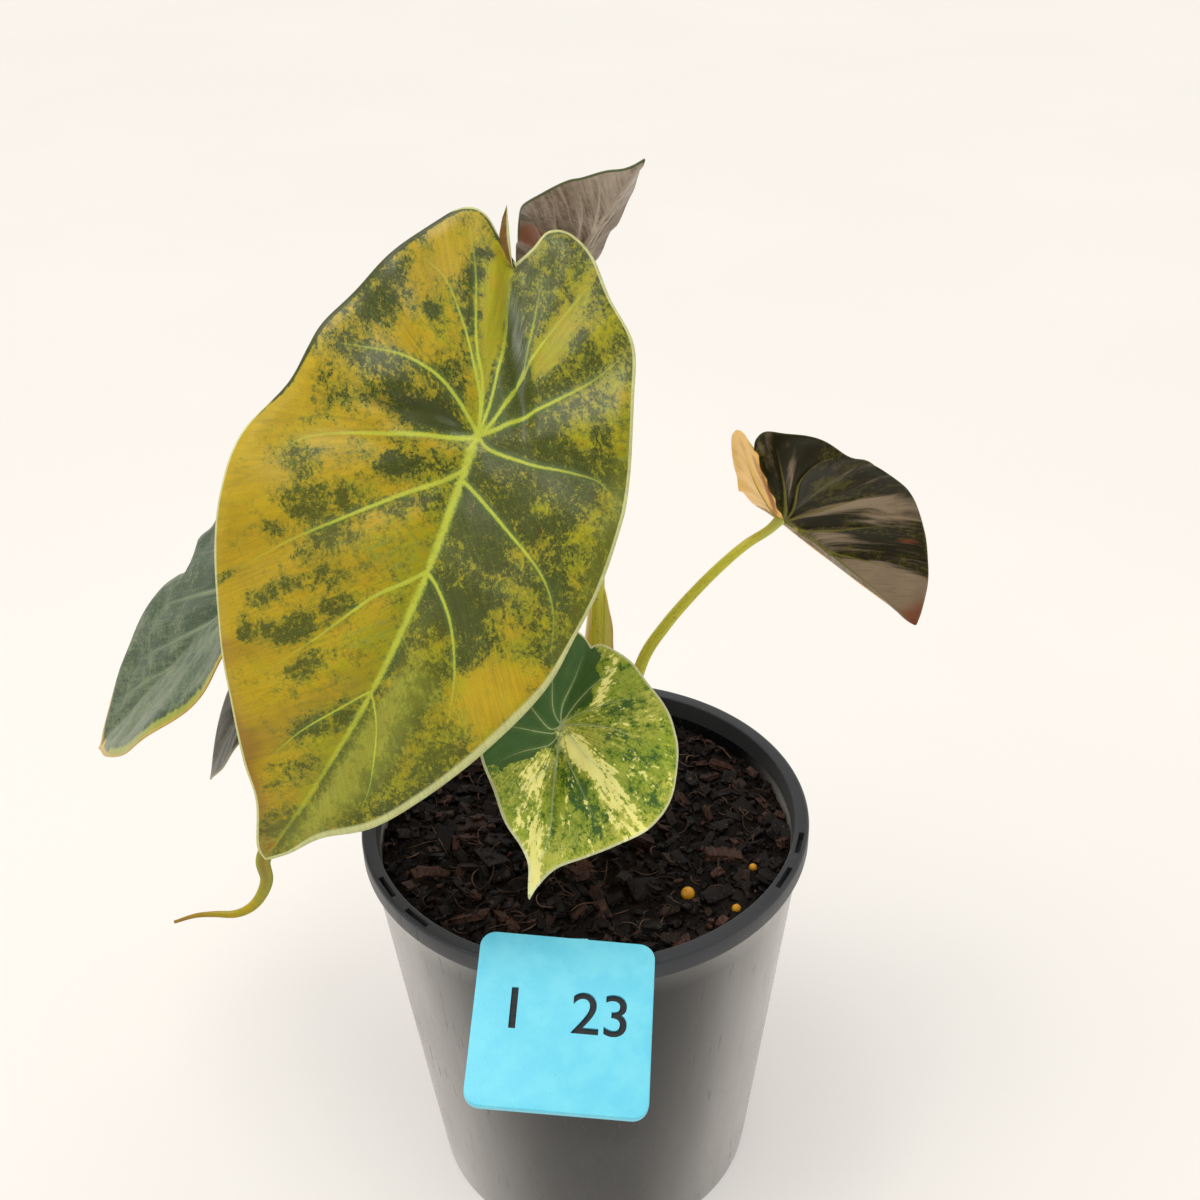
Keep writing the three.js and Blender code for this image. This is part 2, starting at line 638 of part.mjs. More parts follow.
// Sheath: a thin open channel that wraps the lower part of a stalk and fades into it at both ends.
function sheathGeometry(leaf, curve) {
  const { from, to, reach, facing } = leaf.sheath;
  const [low, high] = leaf.radius;
  const steps = 8;
  const across = 6;
  const positions = [];
  for (let i = 0; i <= steps; i += 1) {
    const t = THREE.MathUtils.lerp(from, to, i / steps);
    const stalkRadius = THREE.MathUtils.lerp(low, high, t);
    const swell = Math.sin((i / steps) * Math.PI) ** 0.7;
    const root = stalkRadius * SHEATH_ROOT;
    const radius = THREE.MathUtils.lerp(root, reach, swell);
    const tangent = curve.getTangentAt(t);
    const front = new THREE.Vector3(...facing);
    front.addScaledVector(tangent, -front.dot(tangent)).normalize();
    const side = tangent.clone().cross(front);
    const centre = curve.getPointAt(t).addScaledVector(front, radius - root);
    for (const layer of [0.5, -0.5]) {
      for (let k = 0; k <= across; k += 1) {
        const share = layer > 0 ? k / across : 1 - k / across;
        const turn = radians(180 + SHEATH_SPAN * (2 * share - 1));
        const r = radius + layer * SHEATH_THICKNESS;
        const point = centre.clone()
          .addScaledVector(front, Math.cos(turn) * r)
          .addScaledVector(side, Math.sin(turn) * r);
        positions.push(...point.toArray());
      }
    }
  }
  return loft(positions, 2 * (across + 1), steps);
}

// Closed body through rings of the same number of points, with fans over both ends.
function loft(positions, ring, steps) {
  const indices = [];
  for (let k = 0; k < ring; k += 1) {
    const next = (k + 1) % ring;
    for (let i = 0; i < steps; i += 1) {
      const low = i * ring;
      const high = low + ring;
      indices.push(low + k, low + next, high + k, low + next, high + next, high + k);
    }
  }
  const half = ring / 2;
  for (let k = 0; k < half - 1; k += 1) {
    const [a, b, c, d] = [k, k + 1, ring - 2 - k, ring - 1 - k];
    indices.push(a, d, b, b, d, c);
    const top = steps * ring;
    indices.push(top + a, top + b, top + d, top + b, top + c, top + d);
  }
  return closedGeometry(positions, indices);
}

function stalkGeometry(leaf) {
  const curve = seatedCurve(leaf);
  const stalk = stalkTube(leaf, curve);
  if (!leaf.sheath) return stalk;
  return geometryOf(solid(stalk).add(solid(sheathGeometry(leaf, curve))));
}

function tailGeometry() {
  const curve = new THREE.CatmullRomCurve3(TAIL.map((point) => new THREE.Vector3(...point)));
  const [thick, fine] = TAIL_RADII;
  return taperedTube(curve, (t) => THREE.MathUtils.lerp(thick, fine, t), 6, 16);
}

function flapGeometry() {
  const foot = new THREE.Vector3(...FLAP_FOOT);
  const up = new THREE.Vector3(...FLAP_TOP).sub(foot).normalize();
  const through = new THREE.Vector3(1, 0, 0).cross(up).normalize();
  const right = up.clone().cross(through);
  const shape = new THREE.Shape(FLAP_OUTLINE.map(([x, y]) => new THREE.Vector2(x, y)));
  const flap = new THREE.ExtrudeGeometry(shape, { depth: BLADE_THICKNESS, bevelEnabled: false });
  return flap.applyMatrix4(new THREE.Matrix4().makeBasis(right, up, through).setPosition(foot));
}

function largeBladeGeometry(leaf) {
  const blade = solid(bladeGeometry(leaf));
  return geometryOf(blade.add(solid(tailGeometry())).add(solid(flapGeometry())));
}

// Number tag: a plate with rounded corners and two legs that straddle the pot's rim.
function tagAxes() {
  const elevation = radians(TAG_FACE_ELEVATION);
  const turn = radians(TAG_FACE_TURN);
  const spin = radians(TAG_SPIN);
  const face = new THREE.Vector3(
    Math.cos(elevation) * Math.sin(turn), -Math.cos(elevation) * Math.cos(turn), Math.sin(elevation),
  );
  const level = new THREE.Vector3(Math.cos(turn), Math.sin(turn), 0);
  const rise = face.clone().cross(level);
  const across = level.clone().multiplyScalar(Math.cos(spin)).addScaledVector(rise, Math.sin(spin));
  return { across, up: face.clone().cross(across), face };
}

function tagPlate() {
  const half = TAG_SIZE / 2;
  const straight = half - TAG_CORNER;
  const shape = new THREE.Shape();
  [[1, -1], [1, 1], [-1, 1], [-1, -1]].forEach(([x, y], i) => {
    shape.absarc(x * straight, y * straight, TAG_CORNER, ((i - 1) * Math.PI) / 2, (i * Math.PI) / 2, false);
  });
  const plate = new THREE.ExtrudeGeometry(shape, { depth: TAG_THICKNESS, bevelEnabled: false, curveSegments: 5 });
  plate.translate(0, 0, -TAG_THICKNESS);
  const { across, up, face } = tagAxes();
  const place = new THREE.Vector3(...TAG_CENTRE);
  return plate.applyMatrix4(new THREE.Matrix4().makeBasis(across, up, face).setPosition(place));
}

// Height of the middle of the plate's thickness over a point of the plan.
function plateHeight(x, y) {
  const { face } = tagAxes();
  const [cx, cy, cz] = TAG_CENTRE;
  return cz - (face.x * (x - cx) + face.y * (y - cy) + TAG_THICKNESS / 2) / face.z;
}

function clipLeg(radius, bottom) {
  const turn = radians(CLIP_ANGLE);
  const x = radius * Math.cos(turn);
  const y = radius * Math.sin(turn);
  const top = plateHeight(x, y);
  const leg = new THREE.BoxGeometry(CLIP_LEG, CLIP_WIDTH, top - bottom);
  return leg.rotateZ(turn).translate(x, y, (top + bottom) / 2);
}

function tagGeometry() {
  const inside = clipLeg(innerRadius(CLIP_BOTTOM_INSIDE) - 2 * GAP - CLIP_LEG / 2, CLIP_BOTTOM_INSIDE);
  const outside = clipLeg(RIM_RADIUS + GAP + CLIP_LEG / 2, CLIP_BOTTOM_OUTSIDE);
  return geometryOf(solid(tagPlate()).add(solid(inside)).add(solid(outside)));
}

for (const leaf of LEAVES) {
  const blade = leaf.name === "large" ? largeBladeGeometry(leaf) : bladeGeometry(leaf);
  add(`leaf_blade_${leaf.name}`, blade, leaf.colour, 0.45);
  add(`leaf_stalk_${leaf.name}`, stalkGeometry(leaf), 0x94a03c, 0.5);
}
add("crown", crownGeometry(), 0x8b8a4a, 0.7);
add("potting_mix", mixGeometry(), 0x2a1c15, 0.95);
PRILLS.forEach((prill, i) => add(`fertiliser_prill_${i + 1}`, prillBall(prill, 0), 0xf0a01c, 0.4));
add("pot", potGeometry(), 0x232426, 0.4);
add("number_tag", tagGeometry(), 0x5cc8ec, 0.45);

export default part;
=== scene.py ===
import math
import random

import bpy
import numpy as np
from mathutils import Matrix, Vector, kdtree, noise
from mathutils.geometry import delaunay_2d_cdt


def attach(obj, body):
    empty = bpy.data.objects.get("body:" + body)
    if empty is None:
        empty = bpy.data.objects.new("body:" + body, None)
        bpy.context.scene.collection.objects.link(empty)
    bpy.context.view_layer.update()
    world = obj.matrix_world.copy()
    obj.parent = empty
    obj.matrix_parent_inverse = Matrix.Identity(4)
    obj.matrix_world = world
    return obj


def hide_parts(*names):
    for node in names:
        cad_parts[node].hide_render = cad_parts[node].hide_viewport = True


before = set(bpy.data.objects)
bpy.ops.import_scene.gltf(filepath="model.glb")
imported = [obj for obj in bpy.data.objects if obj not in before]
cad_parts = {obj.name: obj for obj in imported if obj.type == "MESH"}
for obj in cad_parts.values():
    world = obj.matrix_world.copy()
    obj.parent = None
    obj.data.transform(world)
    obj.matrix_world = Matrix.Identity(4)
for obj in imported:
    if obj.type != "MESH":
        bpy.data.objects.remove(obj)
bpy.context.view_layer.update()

# Sizes and places are in millimetres, and each mesh is scaled to metres when it is made.
MM = 0.001

# Pot
POT_HEIGHT = 130.0
RIM_RADIUS = 65.0
RIM_HEIGHT = 5.9
WALL_TOP_RADIUS = 63.1
FOOT_RADIUS = 50.0
MOUTH_RADIUS = 60.8
INNER_FOOT_RADIUS = 48.3
FLOOR_THICKNESS = 2.4
BASE_BOSS_RADIUS = 16.0
BASE_RECESS = 1.2
FOOT_RING_WIDTH = 5.0
DRAIN_HOLES = 8
DRAIN_HOLE_RADIUS = 3.5
DRAIN_CIRCLE_RADIUS = 34.0
SLOT_DEPTH = 3.2
SLOT_WIDTH = 1.5
SLOT_LENGTH = 9.0
SLOT_CIRCLE_RADIUS = 62.9
SLOT_SPREAD = 7.0
SLOT_ROUND = 0.25
HANGER_ANGLES = (-23, 97, 217)

# Potting mix
SOIL_LEVEL = 120.5
SOIL_SWELL = 1.3
CROWN_RADIUS = 10.0
CROWN_BOTTOM = 106.0
CROWN_TOP = 124.5
SOCKET_BOTTOM = 112.0
GAP = 0.3
CHIP_COUNT = 80
CHIP_SEED = 11
CHIP_CORNER_NUMBERS = 24
CHIP_FIELD_RADIUS = 57.5
CROWN_CLEARANCE = 13.0
SMALL_CHIP_COUNT = 900
CRUMB_COUNT = 2600
CRUMB_HEIGHT = 0.42
FIBRE_COUNT = 170

# Fertiliser prills: x, y and radius
PRILLS = ((28.4, -28.3, 2.0), (47.6, -17.5, 1.2), (41.4, -33.9, 1.3))
PRILL_LIFT = 0.35

# Leaves
BLADE_THICKNESS = 0.55
CREASE_WIDTH = 2.4
RIB_RISE = 0.3
RIB_DROP = 0.9
HEM_ROWS = (0.45, 1.0)
# Strength of the painted glow that stands in for light showing through the stalks
STALK_PAINTED_GLOW = 0.22
STALK_STOP = 1.6
MARGIN_STEPS = 240
FINE_MARGIN_STEPS = 900
RIB_STEP = 0.12

# Number tag
TAG_SIZE = 44.7
TAG_THICKNESS = 2.4
TAG_CORNER = 4.0
TAG_BEVEL = 0.35
TAG_PRINT_LINES = 0.42
TAG_CENTRE = (-6.0, -80.2, 128.6)
TAG_FACE_ELEVATION = 68.0
TAG_FACE_TURN = 13.6
TAG_SPIN = -17.2
CLIP_WIDTH = 10.0
CLIP_LEG = 1.3
CLIP_ROUND = 0.6
CLIP_SPOT = (-4.0, -60.0)
CLIP_ANGLE = -94.0
CLIP_BOTTOM_INSIDE = 124.0
CLIP_BOTTOM_OUTSIDE = 121.0
FIGURES = (("1", -12.4), ("23", 9.4))
FIGURE_SIZE = 15.2
FIGURE_Y = 2.0
FIGURE_DEPTH = 0.9
FIGURE_WEIGHT = 0.12
INLAY_THICKNESS = 0.12
INLAY_LIFT = 0.07

# Outlines of a half blade, from the notch between the back lobes, round the lobe and to the tip.
# Each point is (distance along the midrib, distance out from it), as shares of the length from
# the stalk to the tip.
COMMON_HALF = (
    (-0.34, 0), (-0.4, 0.055), (-0.425, 0.11), (-0.38, 0.19), (-0.29, 0.27), (-0.15, 0.335), (0, 0.37),
    (0.13, 0.388), (0.26, 0.392), (0.39, 0.372), (0.52, 0.325), (0.66, 0.25), (0.79, 0.165),
    (0.9, 0.075), (1, 0),
)
LARGE_RIGHT = (
    (-0.34, 0), (-0.385, 0.03), (-0.43, 0.055), (-0.445, 0.1), (-0.423, 0.157), (-0.363, 0.213),
    (-0.304, 0.281), (-0.208, 0.306), (-0.063, 0.33), (0.093, 0.337), (0.253, 0.323), (0.375, 0.311),
    (0.539, 0.2585), (0.696, 0.196), (0.804, 0.141), (0.883, 0.067), (0.954, 0.031), (1, 0),
)
LARGE_LEFT = (
    (-0.34, 0), (-0.368, 0.043), (-0.397, 0.082), (-0.395, 0.122), (-0.356, 0.169), (-0.246, 0.251),
    (-0.059, 0.362), (0.084, 0.406), (0.219, 0.465), (0.342, 0.457), (0.472, 0.411), (0.611, 0.326),
    (0.71, 0.244), (0.813, 0.156), (0.881, 0.089), (0.976, 0.032), (1, 0),
)
FRONT_RIGHT = (
    (-0.507, 0), (-0.535, 0.035), (-0.52, 0.1), (-0.47, 0.21), (-0.405, 0.31), (-0.219, 0.52),
    (-0.08, 0.63), (0.049, 0.69), (0.303, 0.697), (0.495, 0.607), (0.624, 0.439), (0.725, 0.275),
    (0.811, 0.125), (0.924, 0.035), (1, 0),
)
FRONT_LEFT = (
    (-0.507, 0), (-0.55, 0.07), (-0.556, 0.18), (-0.461, 0.3), (-0.3, 0.41), (-0.1, 0.48), (0.1, 0.49),
    (0.299, 0.435), (0.471, 0.318), (0.623, 0.219), (0.727, 0.099), (0.816, 0.03), (0.93, 0.01), (1, 0),
)
RIGHT_NEAR = (
    (-0.5, 0), (-0.545, 0.03), (-0.565, 0.08), (-0.55, 0.12), (-0.49, 0.165), (-0.35, 0.2), (-0.15, 0.235),
    (0.02, 0.27), (0.17, 0.3), (0.32, 0.335), (0.45, 0.35), (0.56, 0.32), (0.66, 0.25), (0.81, 0.17),
    (0.93, 0.05), (1, 0),
)
RIGHT_FAR = (
    (-0.5, 0), (-0.545, 0.02), (-0.555, 0.06), (-0.51, 0.125), (-0.43, 0.22), (-0.31, 0.3), (-0.09, 0.41),
    (0.117, 0.466), (0.329, 0.442), (0.539, 0.368), (0.7, 0.275), (0.819, 0.189), (0.937, 0.074), (1, 0),
)
UPRIGHT_FAR = (
    (-0.34, 0), (-0.4, 0.055), (-0.425, 0.11), (-0.38, 0.19), (-0.27, 0.27), (-0.1, 0.31), (0, 0.315),
    (0.135, 0.341), (0.284, 0.363), (0.384, 0.348), (0.488, 0.305), (0.639, 0.231), (0.705, 0.183),
    (0.815, 0.116), (0.898, 0.051), (1, 0),
)
LEFT_UPPER = (
    (-0.34, 0), (-0.4, 0.055), (-0.425, 0.11), (-0.38, 0.19), (-0.27, 0.28), (-0.1, 0.345), (0.1, 0.375),
    (0.3, 0.375), (0.4, 0.35), (0.47, 0.365), (0.5, 0.27), (0.56, 0.292), (0.646, 0.317),
    (0.729, 0.288), (0.805, 0.226), (0.875, 0.16), (0.94, 0.075), (1, 0),
)

# Ribs: points in the outline's shares, plus to port, with the half widths in mm at both ends
LARGE_RIBS = (
    (((0, 0), (0.084, -0.005), (0.296, -0.004), (0.53, -0.003), (0.76, -0.005), (0.97, -0.003)), 1.35, 0.4),
    (((0, 0), (-0.09, -0.012), (-0.164, -0.045), (-0.28, -0.076), (-0.36, -0.11)), 0.7, 0.2),
    (
        ((0, 0), (-0.06, -0.01), (-0.129, -0.045), (-0.191, -0.087), (-0.245, -0.14), (-0.26, -0.207)),
        0.6, 0.2,
    ),
    (
        ((0, 0), (-0.022, -0.025), (-0.06, -0.093), (-0.068, -0.159), (-0.056, -0.23), (-0.025, -0.325)),
        0.65, 0.2,
    ),
    (((0, 0), (0.022, -0.03), (0.072, -0.146), (0.124, -0.258), (0.168, -0.331), (0.224, -0.385)), 0.75, 0.2),
    (
        ((0.075, -0.005), (0.12, -0.045), (0.175, -0.106), (0.28, -0.208), (0.372, -0.292), (0.46, -0.355)),
        0.65, 0.2,
    ),
    (((0.285, -0.005), (0.32, -0.03), (0.387, -0.086), (0.495, -0.144), (0.6, -0.2)), 0.6, 0.2),
    (((0.55, -0.003), (0.61, -0.04), (0.7, -0.09), (0.8, -0.12)), 0.35, 0.15),
    (((0, 0), (-0.07, 0.012), (-0.159, 0.012), (-0.252, 0.002), (-0.33, 0.0)), 0.5, 0.3),
    (((0, 0), (-0.03, 0.022), (-0.091, 0.047), (-0.184, 0.066), (-0.249, 0.068), (-0.34, 0.063)), 0.55, 0.2),
    (
        ((-0.03, 0.022), (-0.07, 0.04), (-0.128, 0.057), (-0.232, 0.101), (-0.295, 0.131), (-0.37, 0.17)),
        0.5, 0.2,
    ),
    (((0, 0), (-0.025, 0.035), (-0.091, 0.106), (-0.149, 0.167), (-0.208, 0.222), (-0.276, 0.27)), 0.6, 0.2),
    (((0, 0), (0.016, 0.033), (0.004, 0.125), (-0.015, 0.194), (-0.03, 0.27), (-0.01, 0.312)), 0.55, 0.2),
    (((0.095, 0.0), (0.11, 0.045), (0.137, 0.115), (0.18, 0.212), (0.232, 0.264), (0.3, 0.292)), 0.6, 0.2),
    (((0.29, 0.0), (0.31, 0.035), (0.358, 0.086), (0.448, 0.138), (0.54, 0.17)), 0.55, 0.2),
    (((0.56, 0.0), (0.62, 0.045), (0.72, 0.09), (0.79, 0.105)), 0.3, 0.15),
)
FRONT_RIBS = (
    (((0, 0), (0.1, 0.012), (0.23, 0.022), (0.43, 0.045), (0.64, 0.06), (0.83, 0.02), (0.95, 0)), 0.45, 0.2),
    (((0, 0), (-0.12, -0.038), (-0.3, -0.03), (-0.44, -0.035)), 0.3, 0.12),
    (((0, 0), (-0.08, -0.09), (-0.25, -0.17), (-0.38, -0.22)), 0.22, 0.1),
    (((0, 0), (0.042, -0.071), (-0.038, -0.218), (-0.1, -0.36)), 0.25, 0.1),
    (((0, 0), (0.064, -0.044), (0.104, -0.264), (0.12, -0.4)), 0.25, 0.1),
    (((0.05, 0), (0.139, -0.052), (0.23, -0.213), (0.31, -0.32)), 0.22, 0.1),
    (((0.2, 0.02), (0.3, -0.05), (0.42, -0.16), (0.5, -0.24)), 0.22, 0.1),
    (((0, 0), (-0.024, 0.16), (-0.013, 0.348), (0.033, 0.516)), 0.3, 0.12),
    (((0, 0), (-0.07, 0.06), (-0.2, 0.27), (-0.26, 0.42)), 0.25, 0.1),
    (((0, 0), (-0.16, 0.043), (-0.322, 0.127), (-0.435, 0.206)), 0.3, 0.12),
    (((0, 0), (0.167, 0.187), (0.287, 0.376), (0.385, 0.497)), 0.25, 0.1),
    (((0.1, 0.012), (0.323, 0.167), (0.518, 0.304)), 0.25, 0.1),
)
RIGHT_RIBS = (
    (((0, 0), (0.3, 0), (0.6, 0), (0.96, 0)), 0.75, 0.25),
    (((0, 0), (-0.1, -0.03), (-0.265, -0.068), (-0.455, -0.088)), 0.5, 0.15),
    (((0, 0), (-0.069, -0.064), (-0.212, -0.13), (-0.263, -0.22), (-0.241, -0.307)), 0.5, 0.15),
    (((0, 0), (0.037, -0.052), (0.121, -0.206), (0.167, -0.321), (0.238, -0.396)), 0.5, 0.15),
    (((0.12, 0), (0.185, -0.03), (0.291, -0.123), (0.371, -0.236), (0.45, -0.33)), 0.45, 0.15),
    (((0.36, 0), (0.435, -0.02), (0.551, -0.079), (0.71, -0.15)), 0.4, 0.15),
    (((0, 0), (-0.116, 0.05), (-0.339, 0.083), (-0.507, 0.089)), 0.4, 0.15),
    (((0, 0), (0.05, 0.1), (0.12, 0.24)), 0.4, 0.15),
    (((0.15, 0), (0.25, 0.1), (0.4, 0.27)), 0.4, 0.15),
    (((0.4, 0), (0.5, 0.08), (0.66, 0.2)), 0.35, 0.15),
)
UPRIGHT_RIBS = (
    (((0, 0), (0.3, 0), (0.6, 0), (0.96, 0)), 0.7, 0.25),
    (((0, 0), (0.05, -0.08), (0.189, -0.228), (0.26, -0.31)), 0.45, 0.15),
    (((0.1, 0), (0.232, -0.119), (0.388, -0.197), (0.482, -0.256)), 0.45, 0.15),
    (((0.25, 0), (0.34, -0.03), (0.511, -0.085), (0.619, -0.15)), 0.45, 0.15),
    (((0.45, 0), (0.627, -0.041), (0.75, -0.104)), 0.4, 0.15),
    (((0, 0), (-0.1, -0.08), (-0.22, -0.2)), 0.4, 0.15),
    (((0, 0), (-0.12, -0.03), (-0.33, -0.08)), 0.4, 0.15),
    (((0, 0), (-0.12, 0.03), (-0.33, 0.08)), 0.4, 0.15),
    (((0, 0), (-0.08, 0.12), (-0.18, 0.26)), 0.4, 0.15),
    (((0, 0), (0.05, 0.15), (0.1, 0.33)), 0.4, 0.15),
    (((0.1, 0), (0.2, 0.12), (0.35, 0.32)), 0.4, 0.15),
    (((0.3, 0), (0.4, 0.09), (0.56, 0.24)), 0.4, 0.15),
    (((0.5, 0), (0.6, 0.06), (0.73, 0.15)), 0.35, 0.15),
)
DARK_MIDRIB = (((0, 0), (0.3, 0), (0.6, 0), (0.97, 0)), 0.6, 0.25)
DARK_SIDE_RIBS = (
    (((0, 0), (-0.12, 0.03), (-0.34, 0.08)), 0.35, 0.1),
    (((0, 0), (-0.1, 0.1), (-0.24, 0.2)), 0.35, 0.1),
    (((0, 0), (0.04, 0.14), (0.02, 0.3)), 0.35, 0.1),
    (((0.04, 0), (0.16, 0.1), (0.32, 0.22), (0.4, 0.29)), 0.35, 0.1),
    (((0.2, 0), (0.34, 0.07), (0.5, 0.16), (0.61, 0.22)), 0.35, 0.1),
    (((0.38, 0), (0.52, 0.05), (0.66, 0.1), (0.75, 0.13)), 0.3, 0.1),
    (((0.58, 0), (0.7, 0.035), (0.8, 0.06), (0.87, 0.075)), 0.25, 0.1),
)
DARK_RIBS = (DARK_MIDRIB,) + tuple(
    (tuple((x, side * y) for x, y in points), start, end)
    for side in (1, -1)
    for points, start, end in DARK_SIDE_RIBS
)

# Patches of colour: along, out, half length, half width, turn in degrees and strength, the first
# four as shares of the blade's length. The gold ones take dark away.
# Two of these dark patches, at (-0.17, 0.05) and (0.01, -0.1), are painted shade in the hollows of
# LARGE_DENTS; the rest are the leaf's own mottle
LARGE_DARK_AND_HOLLOW_SHADE = (
    (-0.14, -0.25, 0.09, 0.045, 152, 0.75), (-0.24, -0.08, 0.1, 0.035, -163, 0.8),
    (-0.17, -0.15, 0.018, 0.016, 118, 1.2), (-0.06, -0.08, 0.07, 0.04, 163, 0.8),
    (-0.03, -0.21, 0.08, 0.035, 103, 0.8), (0.06, -0.31, 0.07, 0.05, 115, 0.55),
    (0.02, -0.13, 0.09, 0.035, 99, 1.0), (0.21, -0.32, 0.07, 0.03, 116, 0.75),
    (0.13, -0.14, 0.06, 0.025, 116, 0.9), (0.27, -0.26, 0.085, 0.04, 112, 0.95),
    (0.2, -0.11, 0.08, 0.02, 125, 0.7), (0.33, -0.21, 0.08, 0.03, 135, 0.75),
    (0.36, -0.32, 0.03, 0.015, 117, 0.8), (0.4, -0.2, 0.08, 0.02, 126, 0.85),
    (0.49, -0.29, 0.06, 0.025, 136, 0.95), (0.52, -0.21, 0.09, 0.03, 127, 0.95),
    (0.43, -0.14, 0.05, 0.02, 127, 0.8), (0.58, -0.15, 0.06, 0.022, 149, 0.95),
    (0.66, -0.06, 0.085, 0.03, 139, 0.85), (0.79, -0.06, 0.07, 0.03, 142, 0.75),
    (0.57, -0.29, 0.03, 0.02, 30, 0.9), (0.5, -0.385, 0.05, 0.01, 150, 1.0),
    (0.06, 0.12, 0.3, 0.17, 90, 0.35), (-0.17, 0.05, 0.09, 0.022, 24, 1.3),
    (0.01, -0.1, 0.06, 0.016, 100, 0.9), (-0.33, -0.07, 0.05, 0.03, 160, 0.5),
    (-0.02, -0.33, 0.1, 0.03, 110, 0.4), (0.14, 0.04, 0.12, 0.03, 60, 0.3),
    (0.32, 0.09, 0.08, 0.045, 120, 0.7), (-0.17, -0.28, 0.17, 0.035, -29, 0.55),
    (0.93, -0.05, 0.08, 0.04, 150, 1.2),
)
LARGE_GOLD = (
    (-0.225, 0.115, 0.085, 0.026, 157, -1.2), (-0.36, 0.16, 0.05, 0.018, 170, -0.7),
    (-0.3, 0.215, 0.055, 0.02, 150, -0.7), (-0.1, 0.21, 0.035, 0.025, 114, -0.8),
    (0.27, 0.2, 0.07, 0.045, 172, -0.4), (0.12, 0.27, 0.07, 0.03, 10, -0.6),
    (0.07, 0.18, 0.025, 0.018, 115, -0.9), (0.17, 0.155, 0.035, 0.018, 118, -0.9),
    (0.43, 0.22, 0.1, 0.05, 137, -1.5), (0.5, 0.24, 0.06, 0.04, 157, -0.6),
    (-0.16, 0.29, 0.09, 0.028, 20, -0.55), (-0.22, -0.02, 0.1, 0.024, -170, -0.8),
    (0.04, 0.29, 0.07, 0.028, 0, -0.45), (-0.3, -0.13, 0.06, 0.04, 150, -0.4),
    (0.7, 0.05, 0.24, 0.03, 178, -0.9),
)
LARGE_OLIVE = (
    (0.68, 0.055, 0.24, 0.045, 178, 1.0), (0.5, 0.095, 0.05, 0.035, 120, 0.5),
    (0.29, -0.09, 0.12, 0.045, 124, 0.45), (0.44, -0.045, 0.1, 0.035, 140, 0.45),
    (0.6, 0.14, 0.2, 0.06, 150, 0.35), (0.93, 0.0, 0.1, 0.05, 0, 0.5), (0.0, 0.33, 0.4, 0.035, 0, 0.6),
    (-0.3, -0.2, 0.12, 0.06, 140, 0.2),
)
LARGE_FLUSH = (
    (0.97, -0.02, 0.06, 0.05, 120, 0.4), (0.62, -0.3, 0.2, 0.03, 130, 0.35),
    (0.42, -0.3, 0.2, 0.1, 118, 0.3), (0.03, -0.17, 0.08, 0.02, 98, 0.7),
    (0.66, -0.1, 0.25, 0.05, 150, 0.35), (-0.2, -0.2, 0.12, 0.06, 140, 0.3),
)

FRONT_CREAM = (
    (0.13, 0.12, 0.15, 0.06, 43, 0.6), (0.27, 0.31, 0.15, 0.075, 52, 0.45),
    (0.46, 0.45, 0.16, 0.08, 43, 0.5), (0.58, 0.56, 0.1, 0.06, 120, 0.55),
    (0.3, -0.1, 0.15, 0.08, 150, 0.42), (0.5, -0.1, 0.2, 0.085, 165, 0.42),
    (0.7, -0.01, 0.16, 0.07, 175, 0.6), (0.2, 0.2, 0.18, 0.08, 46, 0.2), (0.9, 0.0, 0.14, 0.05, 0, 0.8),
    (-0.28, 0.16, 0.2, 0.035, 178, 0.6), (0.5, 0.14, 0.14, 0.04, 20, 0.25),
    (0.2, 0.62, 0.18, 0.06, 80, 0.25), (0.62, 0.3, 0.1, 0.06, 20, 0.25), (0.1, 0.3, 0.3, 0.3, 0, 0.12),
)
# Edge of the front leaf's plain dark zone: along and out
FRONT_BORDER = (
    (-0.55, 0.02), (-0.4, 0.08), (-0.27, 0.11), (-0.14, 0.1), (-0.09, 0.05), (-0.04, -0.02),
    (0.13, -0.02), (0.35, -0.295),
)
FRONT_DARK = (
    (0.36, 0.17, 0.2, 0.07, 32, 0.5), (0.13, 0.48, 0.12, 0.06, 75, 0.35),
    (-0.15, 0.28, 0.14, 0.07, 120, 0.3), (0.55, 0.33, 0.1, 0.07, 30, 0.35),
    (0.36, 0.58, 0.12, 0.04, 55, 0.35), (0.42, -0.24, 0.14, 0.04, 150, 0.3),
    (0.02, 0.33, 0.1, 0.05, 85, 0.25),
)
# Painted sheen: pale bands painted on the right leaf's lower side, as patches like the others
RIGHT_PAINTED_SHEEN = (
    (0.15, -0.2, 0.2, 0.045, -57, 0.8), (0.36, -0.34, 0.17, 0.08, -52, 0.6),
    (0.33, -0.07, 0.12, 0.03, -30, 0.6), (0.68, -0.08, 0.2, 0.07, -30, 1.0),
    (0.86, -0.05, 0.14, 0.12, 0, 1.1), (-0.27, -0.1, 0.14, 0.02, 20, 0.5), (0.55, 0.2, 0.5, 0.2, 0, 0.8),
)
RIGHT_FLUSH = (
    (0.56, -0.28, 0.05, 0.02, -50, 0.6), (-0.22, 0.015, 0.2, 0.016, 3, 0.75),
    (0.02, 0.13, 0.06, 0.02, 60, 0.6), (-0.4, 0.03, 0.1, 0.012, 0, 0.5),
)
RIGHT_DARK = (
    (-0.36, -0.14, 0.16, 0.1, 20, 0.7), (0.18, -0.1, 0.08, 0.03, -35, 0.8),
    (0.5, -0.18, 0.17, 0.05, -35, 0.4), (-0.1, -0.1, 0.12, 0.05, 30, 0.6),
    (0.05, -0.4, 0.3, 0.05, -40, 0.5), (-0.05, -0.27, 0.14, 0.08, -60, -0.45),
)

# Painted highlights on the largest blade: pale glints over the hollow by the notch and a small one in its
# other hollow
LARGE_PAINTED_GLINTS = ((-0.22, 0.04, 0.07, 0.02, 27, 0.65), (0.005, -0.07, 0.025, 0.006, 99, 0.3))

